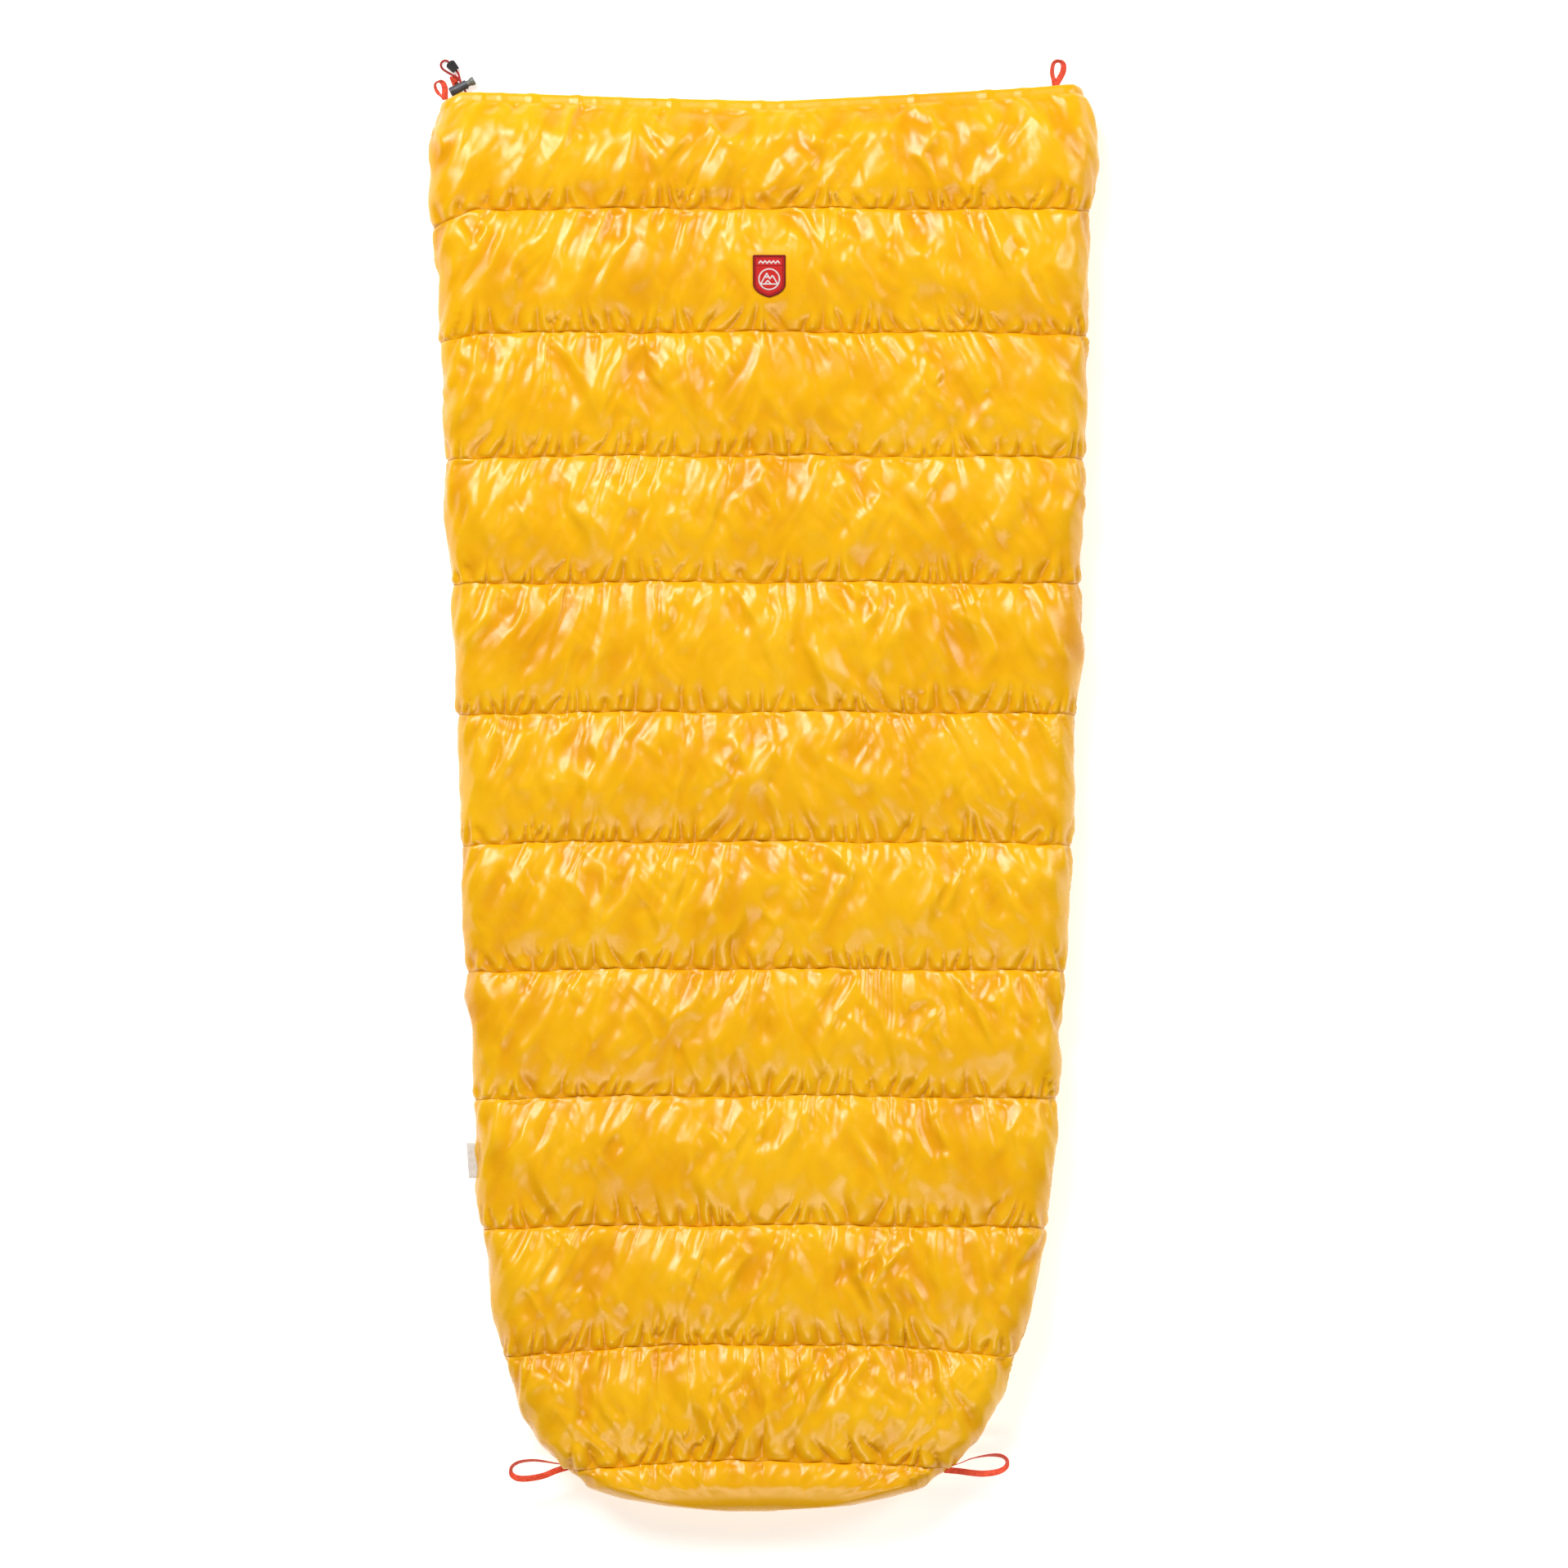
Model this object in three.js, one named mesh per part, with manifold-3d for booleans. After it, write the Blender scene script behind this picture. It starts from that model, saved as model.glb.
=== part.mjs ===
// A down quilt lying flat on its back: +Y runs to the mouth, +X to the right, +Z up, in millimetres.
// The quilt is one padded layer bent into a flattened C: it runs from the slit in the middle of the
// underside, round one side, over the top and round the other side back to the slit. Below the slit
// the two edges meet in a seam, and a padded panel closes the foot.
import * as THREE from "three";
import { mergeVertices } from "three/addons/utils/BufferGeometryUtils.js";
import Module from "manifold-3d";

const wasm = await Module();
wasm.setup();

// Skins and clearances
const SKIN = 0.5; // a nylon layer
const GAP = 0.3; // between neighbouring pieces
const WALL = 0.6; // a baffle wall, a binding or the hem
const FILL_DEPTH = SKIN + 0.4; // how far the down lies under the face of its chamber

// Half thickness of the padded layer
const LOFT = 18; // at a chamber's crest
const LOFT_SEAM = 7; // at a seam across the quilt
const LOFT_EDGE = 5; // at the mouth hem and the slit edges
const LOFT_SIDE = 16; // where the layer turns round the side, at a crest
const LOFT_SIDE_SEAM = 12;

// The C-shaped centre line of the layer
const TURN = 26; // radius of the turn at each side
const TURN_HEM = 20.75;
const TURN_FROM = 766; // the turns grow tighter from here to the mouth
const BASE_HEIGHT = LOFT; // height of the lower run's centre line
const BASE_HEIGHT_EDGE = 6.5;
const TOP_HEIGHT = BASE_HEIGHT + 2 * TURN + LOFT; // 88, the highest chamber's top
const EDGE_FLAT = 9; // width of the thin margin along the slit
const EDGE_RISE = 26; // over which the margin fills out
const TAPE_WIDTH = 16;

// Seams across the quilt, from the mouth to the foot
const SEAMS = [737, 579, 420.5, 259, 93, -73, -236, -398.5, -564, -717, -866];
const HEM_FRONT = 891;
const HEM_BACK = 877;
const MOUTH_EDGE = 881;
const CORD_LINE = 886; // the drawcord's line in the hem, between the mouth edge and the hem's fold
const HEM_MARGIN = 871; // the thin margin behind the mouth edge starts here
const FOOT_DEPTH = 66; // of the foot panel's bulge behind its seam
const FOOT_CLEARANCE = 1.1; // from the last seam to the foot panel's pieces
const FOLD_MOUTH = 3; // number of the seam where the mouth end folds back
const FOLD_FOOT = 9;
const SLIT_SEAM = 7; // number of the seam where the slit ends
const SLIT_HALF_MOUTH = 95;
const SLIT_HALF_END = 3;
const SLIT_CLOSED = 0.5; // half the gap between the sewn edges of the footbox
const SLIT_CLOSES_OVER = 10; // length for each millimetre that the slit narrows below its end
const CREST_START = 0.2; // part of a chamber's length taken by the rise from its seam
const CREST_START_MOUTH = 0.34; // the same on the mouth side of the first chamber
const HALF_SEAM_GAP = 0.2; // between the shells of two sections

// The outline seen from above: [y, left x, right x]
const OUTLINE = [
  [871, -424, 425],
  [830, -427.9, 427.9],
  [766, -427.9, 427.9],
  [737, -424, 424],
  [705, -418, 422],
  [586, -416, 420.5],
  [540, -409, 420],
  [376, -405, 413.5],
  [166, -394, 408],
  [-44, -388, 401],
  [-254, -379, 390.5],
  [-464, -367, 376.5],
  [-569, -360, 366],
  [-674, -343, 342],
  [-726, -332, 326],
  [-779, -312, 304],
  [-831, -287, 276],
  [-873, -247, 236],
  [-894, -222, 207],
  [-910, -182, 166],
  [-924, -122, 112],
  [-930.8, -54, 20],
];

// How far the mouth edge lies behind HEM_FRONT: [x, setback]
const HEM_LINE = [
  [-428, 24],
  [-402, 12],
  [-385, 3.5],
  [-340, 4],
  [-150, 11],
  [20, 15],
  [200, 6],
  [340, -2],
  [400, -7],
  [428, 4],
];

// Hardware
const RIBBON_WIDTH = 8;
const RIBBON_THICKNESS = 0.9;
const CORD_DIAMETER = 2.8;
const CORD_SIDES = 8;
const LOCK_ORIGIN = [-400.6, 890.4, 8.2]; // centre of the barrel's closed end
const LOCK_ANGLE = 0.466; // of the barrel's axis from +X
const BARREL_LENGTH = 24;
const BARREL_RADIUS = 6.1;
const BORE_RADIUS = 4.5;
const BORE_START = 4;
const CORD_HOLE_AT = 18; // along the barrel
const PLUNGER_START = 12.3;
const STEM_RADIUS = 4.1;
const HEAD_START = 28.5;
const HEAD_END = 34.7;
const SPRING_RADIUS = 3;
const SPRING_WIRE = 0.7;
const SPRING_TURNS = 4;

const COLOURS = {
  shell: [0xf8b41c, 0.3],
  lining: [0x2f3236, 0.5],
  down: [0xf4f0e6, 0.95],
  mesh: [0xe8e6df, 0.8],
  ribbon: [0xf4502e, 0.6],
  cord: [0xd93a34, 0.65],
  lock: [0x55595c, 0.45],
  cord_end: [0x26262a, 0.5],
  steel: [0xb9bcc0, 0.3],
  patch: [0xc4202c, 0.7],
  patch_edge: [0x8e1522, 0.8],
  emblem: [0xf3e9e6, 0.7],
  label: [0xe4e2e0, 0.7],
};

const group = new THREE.Group();
const seam = (number) => SEAMS[number - 1];

function addMesh(name, geometry, look) {
  const [color, roughness] = COLOURS[look];
  const metalness = look === "steel" ? 0.9 : 0;
  const material = new THREE.MeshStandardMaterial({ color, roughness, metalness });
  const mesh = new THREE.Mesh(geometry, material);
  mesh.name = name;
  group.add(mesh);
  return mesh;
}

// Straight-line interpolation in a list of rows, whose first number rises or falls all the way.
function interpolate(rows, at, column) {
  const falling = rows[0][0] > rows[rows.length - 1][0];
  const list = falling ? [...rows].reverse() : rows;
  const clamped = THREE.MathUtils.clamp(at, list[0][0], list[list.length - 1][0]);
  const k = Math.max(1, list.findIndex((row) => row[0] >= clamped));
  const [a, b] = [list[k - 1], list[k]];
  return THREE.MathUtils.lerp(a[column], b[column], (clamped - a[0]) / (b[0] - a[0]));
}

// --- Lofts ---

// A closed geometry from points and triangles, turned to face outward.
function closedGeometry(points, triangles) {
  let volume = 0;
  for (const [i, j, k] of triangles) volume += points[i].dot(points[j].clone().cross(points[k]));
  const facing = volume < 0 ? triangles.map(([i, j, k]) => [i, k, j]) : triangles;
  const geometry = new THREE.BufferGeometry();
  geometry.setAttribute(
    "position",
    new THREE.Float32BufferAttribute(points.flatMap((p) => p.toArray()), 3),
  );
  geometry.setIndex(facing.flat());
  return geometry.toNonIndexed();
}

// Quads between two rings, cut along one diagonal up to the point "turned" and along the other after it.
function joinRings(triangles, first, second, size, turned = size) {
  for (let i = 0; i < size; i++) {
    const next = (i + 1) % size;
    const [a, b, c, d] = [first + i, first + next, second + next, second + i];
    if (i < turned) triangles.push([a, b, c], [a, c, d]);
    else triangles.push([a, b, d], [b, c, d]);
  }
}

// A solid between two open lines at each station, such as a length of the padded layer.
function loftBand(stations) {
  const points = [];
  const triangles = [];
  const size = stations[0].outer.length;
  for (const { outer, inner } of stations) points.push(...outer, ...[...inner].reverse());
  for (let s = 1; s < stations.length; s++) {
    joinRings(triangles, (s - 1) * 2 * size, s * 2 * size, 2 * size, size);
  }
  const last = (stations.length - 1) * 2 * size;
  for (let i = 0; i + 1 < size; i++) {
    const [a, b, c, d] = [i, i + 1, 2 * size - 2 - i, 2 * size - 1 - i];
    triangles.push([c, b, a], [d, c, a]);
    triangles.push([last + a, last + b, last + c], [last + a, last + c, last + d]);
  }
  return closedGeometry(points, triangles);
}

// A solid through closed rings of points, closed at both ends by a fan from the ring's middle.
function loftRings(rings) {
  const points = [];
  const triangles = [];
  const size = rings[0].length;
  for (const ring of rings) points.push(...ring);
  for (let s = 1; s < rings.length; s++) joinRings(triangles, (s - 1) * size, s * size, size);
  const middle = (ring) =>
    ring.reduce((sum, p) => sum.add(p), new THREE.Vector3()).divideScalar(size);
  const start = points.push(middle(rings[0])) - 1;
  const end = points.push(middle(rings[rings.length - 1])) - 1;
  const last = (rings.length - 1) * size;
  for (let i = 0; i < size; i++) {
    const next = (i + 1) % size;
    triangles.push([start, next, i], [end, last + i, last + next]);
  }
  return closedGeometry(points, triangles);
}

// Like loftRings, for the eight-point ring of a channel, whose ends are cut into convex quads.
function loftChannel(rings) {
  const points = rings.flat();
  const triangles = [];
  for (let s = 1; s < rings.length; s++) joinRings(triangles, (s - 1) * 8, s * 8, 8);
  const last = (rings.length - 1) * 8;
  for (const [a, b, c, d] of [[0, 1, 6, 7], [1, 2, 5, 6], [2, 3, 4, 5]]) {
    triangles.push([c, b, a], [d, c, a]);
    triangles.push([last + a, last + b, last + c], [last + a, last + c, last + d]);
  }
  return closedGeometry(points, triangles);
}

// --- The padded layer ---

function slitHalf(y) {
  const below = seam(SLIT_SEAM) - y;
  if (below > 0) return Math.max(SLIT_CLOSED, SLIT_HALF_END - below / SLIT_CLOSES_OVER);
  const share = (y - seam(SLIT_SEAM)) / (HEM_FRONT - seam(SLIT_SEAM));
  return SLIT_HALF_END + (SLIT_HALF_MOUTH - SLIT_HALF_END) * share;
}

// How far a point at x moves back with the curved mouth edge, fading out at the first seam.
function setback(x, y) {
  const share = THREE.MathUtils.clamp((y - seam(1)) / (HEM_MARGIN - seam(1)), 0, 1);
  return interpolate(HEM_LINE, x, 1) * share;
}

// The layer's centre line at y, as points with the layer's outward direction and half thickness.
// "face" is the half thickness on the flat runs, "side" at the turns, and "low" the lower run's height.
function centreLine(y, face, side, low) {
  const nearMouth = THREE.MathUtils.clamp((y - TURN_FROM) / (HEM_MARGIN - TURN_FROM), 0, 1);
  const turn = THREE.MathUtils.lerp(TURN, TURN_HEM, nearMouth);
  const right = interpolate(OUTLINE, y, 2) - LOFT_SIDE - turn;
  const left = interpolate(OUTLINE, y, 1) + LOFT_SIDE + turn;
  const slit = slitHalf(y);
  const line = [];
  const add = (x, z, nx, nz, half) => line.push({ x, y: y - setback(x, y), z, nx, nz, half });
  const lowerRun = (sign, corner) => {
    const rise = sign * (slit + EDGE_FLAT + EDGE_RISE);
    return [
      [sign * slit, BASE_HEIGHT_EDGE, LOFT_EDGE],
      [sign * (slit + EDGE_FLAT), BASE_HEIGHT_EDGE, LOFT_EDGE],
      [rise, low, face],
      [THREE.MathUtils.lerp(rise, corner, 0.5), low, face],
    ];
  };
  const turnAt = (corner, from) => {
    for (let k = 0; k <= 4; k++) {
      const angle = from + (k * Math.PI) / 4;
      const [nx, nz] = [Math.cos(angle), Math.sin(angle)];
      const half = THREE.MathUtils.lerp(face, side, Math.abs(nx));
      add(corner + turn * nx, low + turn + turn * nz, nx, nz, half);
    }
  };
  for (const [x, z, half] of lowerRun(1, right)) add(x, z, 0, -1, half);
  turnAt(right, -Math.PI / 2);
  for (const share of [0.25, 0.5, 0.75]) {
    add(THREE.MathUtils.lerp(right, left, share), low + 2 * turn, 0, 1, face);
  }
  turnAt(left, Math.PI / 2);
  for (const [x, z, half] of lowerRun(-1, left).reverse()) add(x, z, 0, -1, half);
  return line;
}

// The line at a depth under the outer face, or over the inner face.
const outerFace = (line, depth) =>
  line.map((p) => {
    const reach = p.half - depth;
    return new THREE.Vector3(p.x + p.nx * reach, p.y, p.z + p.nz * reach);
  });
const innerFace = (line, depth) =>
  line.map((p) => {
    const reach = p.half - depth;
    return new THREE.Vector3(p.x - p.nx * reach, p.y, p.z - p.nz * reach);
  });

const atSeam = (y) => centreLine(y, LOFT_SEAM, LOFT_SIDE_SEAM, BASE_HEIGHT);
const atCrest = (y) => centreLine(y, LOFT, LOFT_SIDE, BASE_HEIGHT);
const atHem = (y) => centreLine(y, LOFT_EDGE, LOFT_EDGE, BASE_HEIGHT_EDGE);

// The centre lines along one chamber, from its mouth side to its foot side.
function chamberLines(number, inset) {
  const [from, to] = [number === 1 ? MOUTH_EDGE : seam(number - 1), seam(number)];
  const rise = number === 1 ? CREST_START_MOUTH : CREST_START;
  const crests = [rise, 1 - CREST_START].map((share) => THREE.MathUtils.lerp(from, to, share));
  const start =
    number === 1 ? [atHem(from - inset), atHem(HEM_MARGIN)] : [atSeam(from - inset)];
  return [...start, ...crests.map(atCrest), atSeam(to + inset)];
}

function sectionLines(first, last) {
  const lines = chamberLines(first, first === 1 ? 0 : HALF_SEAM_GAP);
  for (let n = first + 1; n <= last; n++) lines.push(...chamberLines(n, 0).slice(1));
  lines[lines.length - 1] = atSeam(seam(last) + HALF_SEAM_GAP);
  return lines;
}

const band = (lines, outer, inner) =>
  loftBand(lines.map((line) => ({ outer: outer(line), inner: inner(line) })));

function addSection(name, first, last) {
  const lines = sectionLines(first, last);
  const shell = band(lines, (l) => outerFace(l, 0), (l) => outerFace(l, SKIN));
  const lining = band(lines, (l) => innerFace(l, SKIN), (l) => innerFace(l, 0));
  addMesh("outer_shell_" + name, shell, "shell");
  addMesh("lining_" + name, lining, "lining");
}

const wholeDepth = [(l) => outerFace(l, FILL_DEPTH), (l) => innerFace(l, FILL_DEPTH)];
const twoDigits = (n) => String(n).padStart(2, "0");

addSection("mouth", 1, FOLD_MOUTH);
addSection("middle", FOLD_MOUTH + 1, FOLD_FOOT);
addSection("foot", FOLD_FOOT + 1, SEAMS.length);
SEAMS.forEach((y, i) => {
  const fill = chamberLines(i + 1, WALL / 2 + GAP);
  addMesh("down_fill_" + twoDigits(i + 1), band(fill, ...wholeDepth), "down");
  const wall = [atSeam(y + WALL / 2), atSeam(y - WALL / 2)];
  addMesh("baffle_wall_" + twoDigits(i + 1), band(wall, ...wholeDepth), "mesh");
});

// --- The padded panel that closes the foot ---

const FOOT_SEAM = seam(SEAMS.length);
const FOOT_STEPS = [0, 16, 34, 52, 68, 80].map(THREE.MathUtils.degToRad);

// One closed ring of the foot panel, at "angle" round its bulge and "inset" under its face.
function footRing(angle, inset) {
  const bulge = Math.sin(angle);
  const y = FOOT_SEAM - FOOT_CLEARANCE - (FOOT_DEPTH - FOOT_CLEARANCE - inset) * bulge;
  const middle = BASE_HEIGHT + TURN;
  const half = (middle - inset) * Math.sqrt(Math.cos(angle));
  const outlineAt = FOOT_SEAM - FOOT_DEPTH * bulge;
  const right = interpolate(OUTLINE, outlineAt, 2) - inset - half;
  const left = interpolate(OUTLINE, outlineAt, 1) + inset + half;
  const ring = [];
  const halfRound = (corner, other, from, side) => {
    for (let k = 0; k <= 4; k++) {
      const turn = from + (k * Math.PI) / 4;
      const [x, z] = [corner + half * Math.cos(turn), middle + half * Math.sin(turn)];
      ring.push(new THREE.Vector3(x, y, z));
    }
    for (const share of [0.25, 0.5, 0.75]) {
      ring.push(new THREE.Vector3(THREE.MathUtils.lerp(corner, other, share), y, middle + side * half));
    }
  };
  halfRound(right, left, -Math.PI / 2, 1);
  halfRound(left, right, Math.PI / 2, -1);
  return ring;
}

// A cup between two faces, each given as its inset at the seam and its inset over the bulge.
function footCup(outside, inside) {
  const rings = ([atSeam, overBulge]) =>
    FOOT_STEPS.map((angle) => footRing(angle, angle === 0 ? atSeam : overBulge));
  return loftRings([...rings(inside).reverse(), ...rings(outside)]);
}

const PINCH = LOFT - LOFT_SEAM; // how far each face closes in at the seam
const underOuterFace = (depth) => [PINCH + depth, depth];
const overInnerFace = (depth) => [2 * LOFT - PINCH - depth, 2 * LOFT - depth];
const footFill = footCup(underOuterFace(FILL_DEPTH), overInnerFace(FILL_DEPTH));
addMesh("foot_end_shell", footCup(underOuterFace(0), underOuterFace(SKIN)), "shell");
addMesh("foot_end_fill", footFill, "down");
addMesh("foot_end_lining", footCup(overInnerFace(SKIN), overInnerFace(0)), "lining");

// --- Hem, bindings and seam tape ---

// Half widths of a channel that wraps a thin edge, inside and outside
const CHANNEL_IN = LOFT_EDGE + GAP;
const CHANNEL_OUT = CHANNEL_IN + WALL;

// The mouth hem: a channel over the mouth edge, with room for the drawcord in its fold.
function mouthHem() {
  const inside = HEM_FRONT - WALL;
  const profile = [
    [HEM_BACK, CHANNEL_OUT],
    [HEM_FRONT, CHANNEL_OUT],
    [HEM_FRONT, -CHANNEL_OUT],
    [HEM_BACK, -CHANNEL_OUT],
    [HEM_BACK, -CHANNEL_IN],
    [inside, -CHANNEL_IN],
    [inside, CHANNEL_IN],
    [HEM_BACK, CHANNEL_IN],
  ];
  const rings = atHem(MOUTH_EDGE).map((p) =>
    profile.map(
      ([y, across]) =>
        new THREE.Vector3(p.x + p.nx * across, y - setback(p.x, y), p.z + p.nz * across),
    ),
  );
  return loftChannel(rings);
}

// A channel over one slit edge, between two places along the quilt.
function slitBinding(sign, from, to) {
  const stations = [from, (2 * from + to) / 3, (from + 2 * to) / 3, to];
  const rings = stations.map((y) => {
    const edge = slitHalf(y);
    const [back, front, lip] = [edge - GAP - WALL, edge - GAP, edge + EDGE_FLAT - 1];
    const profile = [
      [lip, -CHANNEL_OUT],
      [back, -CHANNEL_OUT],
      [back, CHANNEL_OUT],
      [lip, CHANNEL_OUT],
      [lip, CHANNEL_IN],
      [front, CHANNEL_IN],
      [front, -CHANNEL_IN],
      [lip, -CHANNEL_IN],
    ];
    return profile.map(([x, z]) => {
      const across = sign * x;
      return new THREE.Vector3(across, y - setback(across, y), BASE_HEIGHT_EDGE + z);
    });
  });
  return loftChannel(rings);
}

// The tape over the footbox's centre-back seam, inside the quilt.
function seamTape(from, to) {
  const tape = new THREE.BoxGeometry(TAPE_WIDTH, from - to, SKIN);
  const height = BASE_HEIGHT_EDGE + LOFT_EDGE + GAP + SKIN / 2;
  return tape.translate(0, (from + to) / 2, height);
}

// A cord of round section through a list of points.
function cordAlong(points, sides = CORD_SIDES, diameter = CORD_DIAMETER, steps = 60) {
  const path = new THREE.CatmullRomCurve3(points.map((p) => new THREE.Vector3(...p)));
  const section = new THREE.Shape();
  for (let k = 0; k < sides; k++) {
    const angle = (2 * Math.PI * k) / sides;
    const [x, y] = [(Math.cos(angle) * diameter) / 2, (Math.sin(angle) * diameter) / 2];
    if (k === 0) section.moveTo(x, y);
    else section.lineTo(x, y);
  }
  return new THREE.ExtrudeGeometry(section, { steps, bevelEnabled: false, extrudePath: path });
}

addMesh("mouth_hem", mouthHem(), "shell");
for (const [side, sign] of [["right", 1], ["left", -1]]) {
  const mouthBinding = slitBinding(sign, HEM_BACK - GAP, seam(FOLD_MOUTH) + HALF_SEAM_GAP);
  addMesh("slit_binding_" + side + "_mouth", mouthBinding, "shell");
  const middle = slitBinding(sign, seam(FOLD_MOUTH) - HALF_SEAM_GAP, seam(SLIT_SEAM) + 1);
  addMesh("slit_binding_" + side + "_middle", middle, "shell");
}
addMesh("footbox_seam_tape_middle", seamTape(seam(SLIT_SEAM) - 4, seam(FOLD_FOOT) + 1), "lining");
addMesh("footbox_seam_tape_foot", seamTape(seam(FOLD_FOOT) - 1, FOOT_SEAM + 4), "lining");

const drawcordRoute = atHem(MOUTH_EDGE).map((p) => [p.x, CORD_LINE - setback(p.x, CORD_LINE), p.z]);
addMesh("drawcord", cordAlong(drawcordRoute, 6, CORD_DIAMETER, 56), "cord");

// --- Cord lock, in a frame whose +X runs along the barrel from its closed end ---

function solidFrom(geometry) {
  const bare = geometry.clone();
  bare.deleteAttribute("normal");
  bare.deleteAttribute("uv");
  const merged = mergeVertices(bare, 1e-4);
  const mesh = new wasm.Mesh({
    numProp: 3,
    vertProperties: merged.attributes.position.array,
    triVerts: new Uint32Array(merged.index.array),
  });
  return new wasm.Manifold(mesh);
}

function geometryFrom(solid) {
  const { vertProperties, triVerts } = solid.getMesh();
  const geometry = new THREE.BufferGeometry();
  geometry.setAttribute("position", new THREE.BufferAttribute(vertProperties, 3));
  geometry.setIndex(new THREE.BufferAttribute(triVerts, 1));
  return geometry;
}

// A turned piece along +X, from [x, radius] pairs that start and end on the axis.
function turned(profile, segments = 20) {
  const points = profile.map(([x, radius]) => new THREE.Vector2(radius, x));
  return new THREE.LatheGeometry(points, segments).rotateZ(-Math.PI / 2);
}

const slot = (from, to, height, depth) =>
  new THREE.BoxGeometry(to - from, depth, height).translate((from + to) / 2, 0, 0);

function lockBarrel() {
  const body = turned([
    [0, 0],
    [0, BARREL_RADIUS - 1],
    [1, BARREL_RADIUS],
    [BARREL_LENGTH, BARREL_RADIUS],
    [BARREL_LENGTH, BORE_RADIUS],
    [BORE_START, BORE_RADIUS],
    [BORE_START, 0],
  ]);
  const hole = slot(CORD_HOLE_AT - 2.2, CORD_HOLE_AT + 2.2, 7, 20);
  return geometryFrom(solidFrom(body).subtract(solidFrom(hole)));
}

function lockPlunger() {
  const body = turned([
    [PLUNGER_START, 0],
    [PLUNGER_START, STEM_RADIUS],
    [HEAD_START, STEM_RADIUS],
    [HEAD_START + 0.5, 5],
    [33, 5.7],
    [HEAD_END, 5.2],
    [HEAD_END, 0],
  ]);
  const hole = slot(CORD_HOLE_AT - 1.7, CORD_HOLE_AT + 5.9, 6.4, 20);
  return geometryFrom(solidFrom(body).subtract(solidFrom(hole)));
}

function lockSpring() {
  const [from, to] = [BORE_START + GAP, PLUNGER_START - GAP];
  const points = [];
  const steps = SPRING_TURNS * 8;
  for (let k = 0; k <= steps; k++) {
    const angle = (k * Math.PI) / 4;
    const x = THREE.MathUtils.lerp(from + SPRING_WIRE / 2, to - SPRING_WIRE / 2, k / steps);
    points.push([x, SPRING_RADIUS * Math.cos(angle), SPRING_RADIUS * Math.sin(angle)]);
  }
  return cordAlong(points, 5, SPRING_WIRE, steps);
}

const lock = { cord_lock_barrel: lockBarrel(), cord_lock_plunger: lockPlunger() };
for (const [name, geometry] of Object.entries(lock)) {
  const mesh = addMesh(name, geometry, "lock");
  mesh.position.set(...LOCK_ORIGIN);
  mesh.rotation.z = LOCK_ANGLE;
}
const spring = addMesh("cord_lock_spring", lockSpring(), "steel");
spring.position.set(...LOCK_ORIGIN);
spring.rotation.z = LOCK_ANGLE;

// --- Drawcord's free loop and its cord end ---

// From the hem, through the lock's cord hole, round through the cord end and back into the hole
const TAIL_ROUTE = [
  [-379.5, 888.5, 6.5],
  [-380.9, 891.4, 6.6],
  [-382.7, 894.9, 6.6],
  [-384.5, 898.5, 6.6],
  [-386.3, 902.1, 6.5],
  [-388, 905.8, 5.9],
  [-389, 910.2, 4.4],
  [-390.2, 914.6, 3],
  [-392.2, 918, 2.4],
  [-394.9, 921, 2.4],
  [-397.5, 924, 2.4],
  [-400.1, 927, 2.4],
  [-402.8, 930, 2.4],
  [-406.3, 932, 2.3],
  [-410.2, 931.2, 2.1],
  [-412.7, 928.1, 1.9],
  [-412.6, 924.1, 1.8],
  [-410.3, 921, 1.8],
  [-405.5, 917.6, 2.2],
  [-400, 914.3, 3.8],
  [-394.6, 911.4, 6],
  [-390.2, 908.4, 8.2],
  [-387.6, 904.7, 9.6],
  [-386.2, 901.8, 9.8],
  [-384.5, 898.5, 9.8],
];
const CORD_END_CENTRE = [-397.5, 924, 3.4];
const CORD_END_ANGLE = 2.29; // of its long side from +X
const CORD_END_OUTLINE = [
  [-6.5, -5],
  [5, -6.5],
  [7.5, -3.5],
  [7.5, 3.5],
  [5, 6.5],
  [-6.5, 5],
];
const CORD_END_HEIGHT = 6.4;

function outlineShape(points) {
  return new THREE.Shape(points.map(([x, y]) => new THREE.Vector2(x, y)));
}

function cordEnd() {
  const flat = { depth: CORD_END_HEIGHT, bevelEnabled: false };
  const body = new THREE.ExtrudeGeometry(outlineShape(CORD_END_OUTLINE), flat);
  body.translate(0, 0, -CORD_END_HEIGHT / 2);
  const bore = CORD_DIAMETER + 2 * GAP;
  const hole = new THREE.BoxGeometry(40, bore, bore).translate(0, 0, 2.4 - CORD_END_CENTRE[2]);
  return geometryFrom(solidFrom(body).subtract(solidFrom(hole)));
}

addMesh("drawcord_tail", cordAlong(TAIL_ROUTE, CORD_SIDES, CORD_DIAMETER, 56), "cord");
const cordEndMesh = addMesh("cord_end", cordEnd(), "cord_end");
cordEndMesh.position.set(...CORD_END_CENTRE);
cordEndMesh.rotation.z = CORD_END_ANGLE;

// --- Ribbons ---

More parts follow.
